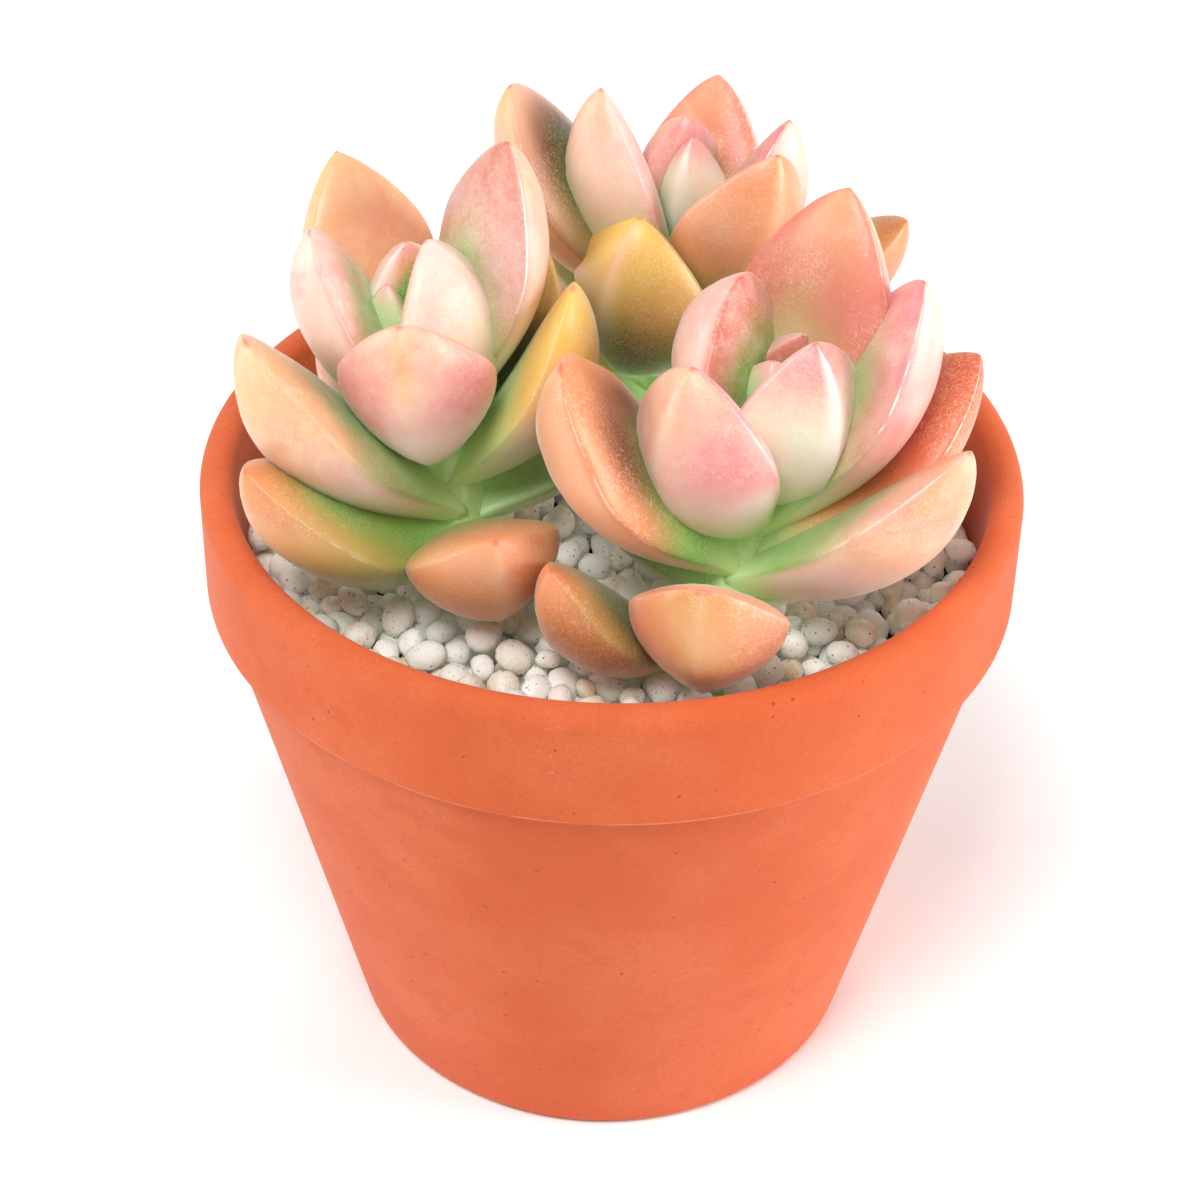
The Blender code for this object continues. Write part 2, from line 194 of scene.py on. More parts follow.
class Board:
    """The nodes of one material."""

    def __init__(self, name: str) -> None:
        """Start an empty material.

        Args:
            name: The material's name.
        """
        self.material = bpy.data.materials.new(name)
        self.material.use_nodes = True
        self.tree = self.material.node_tree
        self.tree.nodes.clear()

    def node(self, kind: str, settings: dict, values: dict, output: "str | int" = 0) -> Wire:
        """Add any node.

        Args:
            kind: The node's type.
            settings: Its own settings, such as a Math node's operation, which are set first.
            values: Numbers, colours or wires for its sockets, by name or place.
            output: The socket to read.

        Returns:
            A wire from that socket.
        """
        made = self.tree.nodes.new(kind)
        for key, value in settings.items():
            setattr(made, key, value)
        for key, value in values.items():
            if isinstance(value, Wire):
                self.tree.links.new(value.socket, made.inputs[key])
            else:
                made.inputs[key].default_value = value
        return Wire(self, made.outputs[output])

    def math(self, operation: str, *values: "Wire | float") -> Wire:
        """Add a Math node for an operation on wires and numbers."""
        return self.node("ShaderNodeMath", {"operation": operation}, dict(enumerate(values)))

    def mix(self, share: "Wire | float", first: Any, second: Any, mode: str = "MIX") -> Wire:
        """Mix two colours.

        Args:
            share: How much of the second, from 0 to 1.
            first: A wire, a colour or a colour's code.
            second: The same.
            mode: The blend mode.

        Returns:
            The mixed colour.
        """
        first, second = (c if isinstance(c, Wire) else rgba(c) for c in (first, second))
        settings = {"data_type": "RGBA", "blend_type": mode}
        return self.node("ShaderNodeMix", settings, {0: share, 6: first, 7: second}, 2)

    def coats(self, ground: Any, *layers: tuple[Wire, Any]) -> Wire:
        """Lay coats of colour over each other.

        Args:
            ground: The colour below them all.
            *layers: How much of each coat shows, with its colour, from the lowest up.

        Returns:
            The coated colour.
        """
        for share, colour in layers:
            ground = self.mix(share, ground, colour)
        return ground

    def place(self) -> Wire:
        """Read the Object coordinates."""
        return self.node("ShaderNodeTexCoord", {}, {}, "Object")

    def attribute(self, name: str, output: str = "Fac") -> Wire:
        """Read an attribute of the mesh."""
        return self.node("ShaderNodeAttribute", {"attribute_name": name}, {}, output)

    def split(self, vector: Wire) -> tuple[Wire, ...]:
        """Take a vector apart into its three numbers."""
        outputs = self.node("ShaderNodeSeparateXYZ", {}, {0: vector}).socket.node.outputs
        return tuple(Wire(self, output) for output in outputs)

    def noise(self, size: float, detail: float = 2.0, rough: float = 0.5, where: Wire | None = None) -> Wire:
        """Read soft noise.

        Args:
            size: Width of its blotches, in millimetres.
            detail: How many finer layers it has.
            rough: How strong those are.
            where: The coordinates; Object coordinates if left out.

        Returns:
            A number near 0.5, from 0 to 1.
        """
        values = {"Vector": where or self.place(), "Scale": 1 / (size * MM)}
        return self.node("ShaderNodeTexNoise", {}, values | {"Detail": detail, "Roughness": rough}, "Fac")

    def specks(self, pitch: float, radius: float, share: float, where: Wire | None = None) -> Wire:
        """Scatter round dots: one in each cell, kept in a share of the cells.

        Args:
            pitch: Width of a cell, in millimetres.
            radius: Radius of a dot, as a share of the cell.
            share: The share of cells that hold a dot.
            where: The coordinates; Object coordinates if left out.

        Returns:
            1 on a dot and 0 between them.
        """
        values = {"Vector": where or self.place(), "Scale": 1 / (pitch * MM), "Randomness": 0.9}
        distance = self.node("ShaderNodeTexVoronoi", {}, values, "Distance")
        chance = self.split(Wire(self, distance.socket.node.outputs["Color"]))[0]
        return distance.rise(radius, radius * 0.4) * chance.rise(share + 0.02, share - 0.02)

    def bump(self, height: Wire, depth: float, strength: float) -> Wire:
        """Turn a height into a bumped normal.

        Args:
            height: The height, from 0 to 1.
            depth: Its full depth, in millimetres.
            strength: How much of it shows.

        Returns:
            The normal.
        """
        values = {"Height": height, "Distance": depth * MM, "Strength": strength}
        return self.node("ShaderNodeBump", {}, values, "Normal")

    def finish(self, values: dict) -> bpy.types.Material:
        """Close the material with a Principled shader.

        Args:
            values: Numbers, colours and wires for its sockets.

        Returns:
            The material.
        """
        shader = self.node("ShaderNodeBsdfPrincipled", {}, values)
        output = self.tree.nodes.new("ShaderNodeOutputMaterial")
        self.tree.links.new(shader.socket, output.inputs["Surface"])
        return self.material


@dataclass(frozen=True)
class Terracotta:
    """Unglazed fired clay: clouded orange with fine grain, pits, specks and faint turning rings."""

    clay: str = "D46032"
    pale: str = "DC6E42"
    dark: str = "C4532B"
    # Below the rim the inside darkens to a damp colour, which is also painted shade in the pot's hollow.
    damp_and_shade: str = "A64A26"
    # The band's lower edge lightens to a worn colour, which is also a painted highlight on the rounded edge.
    wear_and_highlight: str = "FFB48C"
    speck: str = "7A4028"
    pit: str = "8A3E22"
    chalk: str = "F2B090"
    grain: float = 0.45
    roughness: float = 0.8
    rings: float = 0.9
    dry_and_unshaded_above: float = 90.5
    damp_and_shade_below: float = 77.0

    def material(self) -> bpy.types.Material:
        """Build the material, which darkens below the rim inside, as damp and as painted shade, and is
        lighter at the band's lower edge, as wear and as a painted highlight.

        Returns:
            The material.
        """
        board = Board("terracotta")
        z = board.split(board.place())[2]
        cloud = board.noise(26, 3, 0.55)
        blotch = board.noise(5, 4, 0.6)
        grain = board.noise(self.grain, 3, 0.7)
        pits = board.specks(2.2, 0.13, 0.22)
        inside = board.attribute("inside")
        # Darker inside below the rim: damp, and painted shade in the pot's hollow.
        damp_and_shade = inside.rise(0.2, 1.0) * z.rise(self.dry_and_unshaded_above * MM, self.damp_and_shade_below * MM)
        # Lighter along the band's lower edge: wear, and a painted highlight.
        wear_and_highlight = inside.rise(-0.2, -1.0) * board.noise(7, 4, 0.7).rise(0.35, 0.65)
        chalk = board.noise(0.9, 2, 0.6).rise(0.66, 0.74) * cloud.rise(0.45, 0.6)
        colour = board.coats(
            self.clay,
            (cloud.rise(0.35, 0.7), self.pale),
            (blotch.rise(0.5, 0.75) * 0.3, self.dark),
            (damp_and_shade * 0.8, self.damp_and_shade),
            (wear_and_highlight * 0.3, self.wear_and_highlight),
            (grain.rise(0.4, 0.75) * 0.45, self.dark),
            (board.specks(2.6, 0.075, 0.25) * 0.6, self.speck),
            (pits * 0.65, self.pit),
            (chalk * 0.25, self.chalk),
        )
        turned = {"W": z * (self.rings / MM), "Scale": 1.0}
        rings = board.node("ShaderNodeTexNoise", {"noise_dimensions": "1D"}, turned, "Fac")
        height = grain * 0.5 + blotch * 0.3 - pits * 1.2 + rings * 0.35
        return board.finish({
            "Base Color": colour,
            "Roughness": self.roughness + grain * 0.12,
            "Normal": board.bump(height, 0.14, 0.8),
            "Specular IOR Level": 0.35,
            "Sheen Weight": 0.08,
            "Sheen Roughness": 0.4,
        })


@dataclass(frozen=True)
class LeafSkin:
    """Waxy skin: the leaf's own colours, mottled and speckled, with a painted highlight along each margin,
    painted light on the lower back and a faint painted glow at the neck.
    """

    dot: str = "B4583E"
    ridge_highlight: str = "FFEAE2"
    black: str = "000000"
    roughness: float = 0.36
    sheen: float = 0.35
    glow: float = 0.2
    glow_depth: float = 1.8

    def material(self) -> bpy.types.Material:
        """Build the material from the leaves' colours, places and traits.

        Returns:
            The material.
        """
        board = Board("leaf_skin")
        _, around, along = board.split(board.attribute("place", "Vector"))
        line, bloom, seed = board.split(board.attribute("traits", "Vector"))
        blotch = board.attribute("skin", "Alpha")
        wander = board.node("ShaderNodeCombineXYZ", {}, {0: seed * 0.3, 1: seed * 0.2, 2: 0.0})
        shifted = {0: board.place(), 1: wander}
        moved = board.node("ShaderNodeVectorMath", {"operation": "ADD"}, shifted, "Vector")
        swirl = {"Vector": moved, "Scale": 120, "Detail": 4, "Distortion": 0.9}
        brush = board.node("ShaderNodeTexNoise", {}, swirl, "Fac")
        mottle = board.noise(4.5, 3, 0.6)
        grain = board.noise(0.30, 3, 0.65)
        curl = abs(board.noise(0.60, 1, 0.5, moved) - 0.5).rise(0.06, 0.0)
        curl = curl * board.noise(11, 2, 0.5).rise(0.34, 0.58)
        broken = board.noise(2.5, 3, 0.6).rise(0.35, 0.55)
        # A painted highlight along the margins, broken in places.
        ridge_highlight = abs(around).rise(0.06, 0.012) * along.rise(0.3, 0.65) * broken
        # Powder on the lower back, which is also painted light that lifts the shaded underside.
        frost_and_painted_light = bloom.rise(0.06, 0.2) * along.rise(0.66, 0.36)
        frost_and_painted_light = frost_and_painted_light * along.rise(0.12, 0.28) * around.rise(0.0, -0.35)
        tints = {0: 0.95, 1: 0.80 + mottle * 0.2, 2: 0.76 + mottle * 0.24}
        shade = board.node("ShaderNodeCombineXYZ", {}, tints)
        colour = board.coats(
            board.attribute("skin", "Color"),
            (brush.rise(0.50, 0.66) * blotch * 0.6, Hue.ROSE.rgb),
            (brush.rise(0.47, 0.34) * blotch * 0.4, Hue.CREAM.rgb),
        )
        colour = board.coats(
            board.mix(along.rise(0.1, 0.4), colour, shade, "MULTIPLY"),
            (grain.rise(0.45, 0.8) * 0.05, Hue.MILK.rgb),
            (curl * 0.28, Hue.CREAM.rgb),
            (board.specks(1.5, 0.13, 0.10) * 0.5, self.dot),
            (board.specks(0.8, 0.14, 0.10) * 0.7, Hue.MILK.rgb),
            (ridge_highlight * line, self.ridge_highlight),
            (bloom * board.noise(2.2, 4, 0.7).rise(0.35, 0.75), Hue.MILK.rgb),
            (frost_and_painted_light * 0.6, Hue.MILK.rgb),
            (along.rise(0.991, 0.999) * 0.5, Hue.CRIMSON.rgb),
        )
        height = mottle * 0.5 + curl * 0.16 + grain * 0.2
        return board.finish({
            "Base Color": colour,
            # A faint painted glow of pale green at the neck.
            "Emission Color": board.mix(along.rise(0.08, 0.45), Hue.NECK.rgb, self.black),
            "Emission Strength": 0.03,
            "Roughness": self.roughness + (grain - 0.5) * 0.2,
            "Normal": board.bump(height, 0.25, 0.35),
            "Subsurface Weight": self.glow,
            "Subsurface Radius": (1.0, 0.55, 0.3),
            "Subsurface Scale": self.glow_depth * MM,
            "Sheen Weight": self.sheen,
            "Sheen Roughness": 0.25,
            "Specular IOR Level": 0.5,
        })


@dataclass(frozen=True)
class StemSkin:
    """Juicy green stem, lighter where it is lit through, with a faint painted glow of its own colour."""

    body: str = "C4EA9C"
    light: str = "DCF6BC"
    deep: str = "A6D87E"
    glow_depth: float = 3.0

    def material(self) -> bpy.types.Material:
        """Build the material, streaked along the stem.

        Returns:
            The material.
        """
        board = Board("stem_skin")
        along = {"Vector": board.place(), "Scale": (1.0, 1.0, 0.25)}
        streak = board.noise(1.6, 3, 0.6, board.node("ShaderNodeMapping", {}, along))
        patch = board.noise(3.0, 3, 0.6).rise(0.5, 0.8)
        colour = board.coats(self.body, (streak.rise(0.4, 0.7), self.light), (patch * 0.6, self.deep))
        return board.finish({
            "Base Color": colour,
            "Roughness": 0.4 + streak * 0.15,
            "Normal": board.bump(streak, 0.2, 0.4),
            # A faint painted glow of the stem's own colour.
            "Emission Color": colour,
            "Emission Strength": 0.06,
            "Subsurface Weight": 0.4,
            "Subsurface Radius": (0.8, 1.0, 0.4),
            "Subsurface Scale": self.glow_depth * MM,
        })


@dataclass(frozen=True)
class WornPebble:
    """Smooth off-white stone with brown flecks and a faint painted glow; some pebbles are tan or grey."""

    stone: str = "FFFEF8"
    grey: str = "EDEFE4"
    tan: str = "EBD2AC"
    fleck: str = "96683E"
    pore: str = "8A6C50"

    def material(self) -> bpy.types.Material:
        """Build the material from each pebble's greyness and warmth.

        Returns:
            The material.
        """
        board = Board("worn_pebble")
        tone, warmth, _ = board.split(board.attribute("stone", "Vector"))
        cloud = board.noise(1.8, 4, 0.6)
        stain = board.noise(1.1, 5, 0.75).rise(0.57, 0.72)
        patch = board.noise(2.6, 2, 0.5).rise(0.30, 0.52)
        flecks = board.specks(1.05, 0.20, 0.55) * patch
        pores = board.specks(0.6, 0.24, 0.5) * patch
        colour = board.coats(
            self.stone,
            (tone, self.grey),
            (warmth * cloud.rise(0.35, 0.6), self.tan),
            (stain * (0.28 + warmth * 0.7), self.fleck),
            (flecks * 0.9, self.fleck),
            (pores * 0.6, self.pore),
        )
        height = board.noise(0.5, 4, 0.65) + board.noise(1.7, 2, 0.5) * 2.2 - flecks * 0.8 - pores * 0.4
        return board.finish({
            "Base Color": colour,
            # A faint painted glow of the stone's own colour, which lifts the pebbles in shade.
            "Emission Color": colour,
            "Emission Strength": 0.02,
            "Roughness": 0.6 + cloud * 0.15,
            "Normal": board.bump(height, 0.16, 0.6),
            "Specular IOR Level": 0.35,
        })


@dataclass(frozen=True)
class SoilCrumb:
    """Dark crumbly potting soil."""

    dark: str = "2B1F17"
    brown: str = "5A4230"

    def material(self) -> bpy.types.Material:
        """Build the material.

        Returns:
            The material.
        """
        board = Board("soil_crumb")
        crumb = board.noise(1.4, 5, 0.7)
        return board.finish({
            "Base Color": board.mix(crumb.rise(0.4, 0.65), self.dark, self.brown),
            "Roughness": 0.9 + crumb * 0.1,
            "Normal": board.bump(crumb, 1.0, 0.9),
        })


@dataclass(frozen=True)
class PaleFloor:
    """Plain matt white floor."""

    white: tuple[float, float, float, float] = (1.0, 1.0, 1.0, 1.0)
    roughness: float = 0.9

    def material(self) -> bpy.types.Material:
        """Build the material."""
        return Board("pale_floor").finish({"Base Color": self.white, "Roughness": self.roughness})


# How a mesh stores an attribute of one, three or four numbers: its type and the name of its values.
STORES = {1: ("FLOAT", "value"), 3: ("FLOAT_VECTOR", "vector"), 4: ("FLOAT_COLOR", "color")}


@dataclass
class Draft:
    """A mesh in the making: shells of points with their faces and attributes, joined into one object."""

    name: str
    points: list[np.ndarray] = field(default_factory=list)
    faces: list[list] = field(default_factory=list)
    attributes: dict[str, list[np.ndarray]] = field(default_factory=dict)
    materials: list[np.ndarray] = field(default_factory=list)
    count: int = 0

    def add(self, points: np.ndarray, faces: list, material: int = 0, **attributes: np.ndarray) -> None:
        """Add a shell.

        Args:
            points: Its points in millimetres, one row each.
            faces: Its faces, as lists of point numbers.
            material: The material slot of its faces.
            **attributes: A row of numbers for each point, by attribute name.
        """
        self.points.append(points)
        self.faces.append([[k + self.count for k in face] for face in faces])
        self.materials.append(np.full(len(faces), material))
        for key, value in attributes.items():
            self.attributes.setdefault(key, []).append(value)
        self.count += len(points)

    def build(self, materials: list[bpy.types.Material]) -> bpy.types.Object:
        """Make the object.

        Args:
            materials: The materials of its slots.

        Returns:
            The object, linked into the scene.
        """
        mesh = bpy.data.meshes.new(self.name)
        points = np.concatenate(self.points) * MM
        mesh.from_pydata(points, [], [face for shell in self.faces for face in shell])
        mesh.polygons.foreach_set("material_index", np.concatenate(self.materials).astype(np.int32))
        for key, rows in self.attributes.items():
            values = np.concatenate(rows).astype(np.float32)
            kind, slot = STORES[values[0].size]
            mesh.attributes.new(key, kind, "POINT").data.foreach_set(slot, values.ravel())
        for material in materials:
            mesh.materials.append(material)
        mesh.shade_smooth()
        mesh.update()
        made = bpy.data.objects.new(self.name, mesh)
        bpy.context.scene.collection.objects.link(made)
        return made


def tube_faces(rows: int, columns: int) -> list:
    """List the faces of a grid that closes on itself around, with a point at either end.

    Args:
        rows: Rings of points, counted along.
        columns: Points in each ring, counterclockwise seen from the far end.

    Returns:
        The faces, which look outwards. The grid's points come first, then the first end's and the last end's.
    """
    row, column = np.meshgrid(np.arange(rows - 1), np.arange(columns), indexing="ij")
    after = (column + 1) % columns
    low, high = row * columns, (row + 1) * columns
    faces = np.stack((low + column, low + after, high + after, high + column), -1).reshape(-1, 4).tolist()
    ring = np.arange(columns)
    top = (rows - 1) * columns + ring
    faces += np.stack((np.roll(ring, -1), ring, np.full(columns, rows * columns)), -1).tolist()
    faces += np.stack((top, np.roll(top, -1), np.full(columns, rows * columns + 1)), -1).tolist()
    return faces


@dataclass
class Pot:
    """The terracotta pot: a section turned about Z, with softly rounded edges."""

    rim: float = 55.0
    height: float = 91.5
    band: float = 17.4
    step: float = 1.8
    foot: float = 36.5
    drain: float = 6.0
    floor: float = 6.0
    lip: float = 50.8
    knee: float = 49.1
    well: float = 32.5
    rim_round: float = 2.4
    lip_round: float = 1.8
    band_round: float = 0.9
    nook_round: float = 0.5
    foot_round: float = 2.0
    floor_round: float = 3.0
    drain_round: float = 0.8
    lean: float = 12.0
    columns: int = 192

    @staticmethod
    def arc(x: float, z: float, radius: float, start: float, end: float, steps: int = 8) -> np.ndarray:
        """Points along an arc about (x, z), from the start angle to the end angle."""
        angles = np.radians(np.linspace(start, end, steps + 1))
        return np.stack((x + radius * np.cos(angles), z + radius * np.sin(angles)), -1)

    @staticmethod
    def line(start: tuple[float, float], end: tuple[float, float], steps: int) -> np.ndarray:
        """Points strictly between two ends, evenly spaced."""
        share = (np.arange(1, steps) / steps)[:, None]
        return np.array(start) * (1 - share) + np.array(end) * share

    def inner(self, z: float) -> float:
        """Work out the inside wall's radius: steep within the band, then tapering to the floor.

        Args:
            z: Height.

        Returns:
            The radius there.
        """
        bend = self.height - self.band
        if z > bend:
            return self.knee + (self.lip - self.knee) * (z - bend) / self.band
        return self.well + (self.knee - self.well) * (z - self.floor) / (bend - self.floor)

    def section(self) -> tuple[np.ndarray, np.ndarray]:
        """Work out the section, from the rim's top down the outside and back up inside.

        Returns:
            Its (radius, height) points, and for each 0 outside, 1 inside or -1 on the band's lower edge,
            where wear and a painted highlight lighten the clay.
        """
        top, under, step = self.height, self.height - self.band, self.rim - self.step
        rim, lip, edge, nook = self.rim_round, self.lip_round, self.band_round, self.nook_round
        sole, corner, drain = self.foot_round, self.floor_round, self.drain_round
        low = (self.inner(self.floor + corner), self.floor + corner)
        high = (self.inner(top - lip), top - lip)
        outside = [
            self.arc(self.rim - rim, top - rim, rim, 90, 0),
            self.line((self.rim, top - rim), (self.rim, under + edge), 8),
            self.arc(self.rim - edge, under + edge, edge, 0, -90, 5),
            self.arc(step + nook, under - nook, nook, 90, 180, 4),
            self.line((step, under - nook), (self.foot, sole * 0.8), 24),
            self.arc(self.foot - sole, sole, sole, -self.lean, -90, 6),
            self.arc(self.drain + drain, drain, drain, -90, -180, 4),
        ]
        inside = [
            self.arc(self.drain + drain, self.floor - drain, drain, 180, 90, 4),
            self.arc(low[0] - corner, low[1], corner, -90, 0, 6),
            self.line(low, (self.knee, under), 12),
            self.line((self.knee, under), high, 8),
            self.arc(high[0] + lip, high[1], lip, 180, 90, 6),
        ]
        outer, inner = np.concatenate(outside), np.concatenate(inside)
        flags = np.concatenate((np.zeros(len(outer)), np.ones(len(inner))))
        before = len(outside[0]) + len(outside[1])
        flags[before + 1:before + len(outside[2]) - 1] = -1
        return np.concatenate((outer, inner)), flags

    def build(self) -> bpy.types.Object:
        """Turn the section into a ring: x = r cos a, y = r sin a, where r wavers by a hair's breadth.

        Returns:
            The piece.
        """
        section, flags = self.section()
        angle = np.linspace(0, 2 * math.pi, self.columns, endpoint=False)
        radius, height = section[:, 0][:, None], section[:, 1][:, None]
        waver = 1 + 0.0006 * np.sin(3 * angle + 0.7) * np.sin(height / 17)
        reach = radius * (waver + 0.0003 * np.sin(7 * angle + height / 9))
        points = np.stack((reach * np.cos(angle), reach * np.sin(angle), height + 0 * angle), -1)
        rows = len(section)
        row, column = np.meshgrid(np.arange(rows), np.arange(self.columns), indexing="ij")
        next_row, after = (row + 1) % rows, (column + 1) % self.columns
        quads = np.stack((row, next_row, next_row, row), -1) * self.columns
        quads = quads + np.stack((column, column, after, after), -1)
        draft = Draft("clay_pot")
        draft.add(points.reshape(-1, 3), quads.reshape(-1, 4).tolist(), inside=np.repeat(flags, self.columns))
        piece = draft.build([Terracotta().material()])
        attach(piece, "root")
        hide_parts("pot")
        return piece


@dataclass(frozen=True)
class LeafLook:
    """Colours of a leaf, along its face above and its back below, with what lies over them.

    A turn is where along the leaf one colour passes into the next, and a share is how much of a colour shows.
    """

    face_tip: Hue
    face: Hue
    face_foot: Hue
    back_tip: Hue
    back: Hue
    back_foot: Hue
    face_turn: tuple[float, float] = (0.40, 0.75)
    back_turn: tuple[float, float] = (0.10, 0.45)
    tip_turn: tuple[float, float] = (0.62, 0.98)
    rim: Hue = Hue.PINK
    rim_share: float = 0.35
    cheek: Hue = Hue.ROSE
    cheek_share: float = 0.0
    cheek_side: float = 0.0
    # The honey streak down the keel at the tip: the tip's own colour, and partly a painted highlight.
    flame_and_highlight: float = 0.35
    # How strongly the pale line along the keel shows, a painted highlight.
    keel: float = 0.15
    # How strongly the painted highlight along the margins shows.
    line: float = 0.35
    bloom: float = 0.12
    blotch: float = 0.5

    def colour(self, along: np.ndarray, across: np.ndarray, around: np.ndarray) -> np.ndarray:
        """Work out the skin's colour.

        Each side turns from foot to middle to tip, and the green of the face climbs highest along its middle.
        The back has a cheek on one side or both, a honey flame at the tip that is partly a painted highlight,
        and a pale keel line that is a painted highlight, each a bell curve across the leaf. The two sides
        meet at the margins, where the rim's colour lies.

        Args:
            along: Share along the leaf.
            across: Cosine of the angle around it.
            around: Sine of that angle, above 0 on the face.

        Returns:
            Linear red, green and blue for each point.
        """
        middle = 1 - np.abs(across)
        tip = smooth(*self.tip_turn, along)
        turn = smooth(*self.face_turn, along - 0.22 * middle + 0.08)
        face = blend(self.face_foot.rgb, self.face.rgb, turn)
        face = blend(face, self.face_tip.rgb, tip)
        border = smooth(0.45, 0.95, np.abs(across)) * smooth(0.25, 0.6, along)
        face = blend(face, self.rim.rgb, self.rim_share * border)
        back = blend(self.back_foot.rgb, self.back.rgb, smooth(*self.back_turn, along))
        back = blend(back, self.back_tip.rgb, tip)
        side = across * self.cheek_side if self.cheek_side else np.abs(across)
        cheek = smooth(0.0, 0.8, side) * np.exp(-(((along - 0.68) / 0.2) ** 2))
        back = blend(back, self.cheek.rgb, self.cheek_share * cheek)
        # Honey streak at the tip: the tip's colour, and partly a painted highlight.
        flame_and_highlight = np.exp(-((across / 0.3) ** 2)) * smooth(0.6, 0.95, along)
        back = blend(back, Hue.HONEY.rgb, self.flame_and_highlight * flame_and_highlight)
        # A painted highlight along the keel.
        keel_highlight = np.exp(-((across / 0.06) ** 2)) * smooth(0.3, 0.7, along)
        back = blend(back, Hue.MILK.rgb, self.keel * keel_highlight)
        colour = blend(back, face, smooth(-0.22, 0.02, around))
        # The neck's pale green, partly painted light.
        return blend(Hue.NECK.rgb, colour, smooth(0.04, 0.26, along))


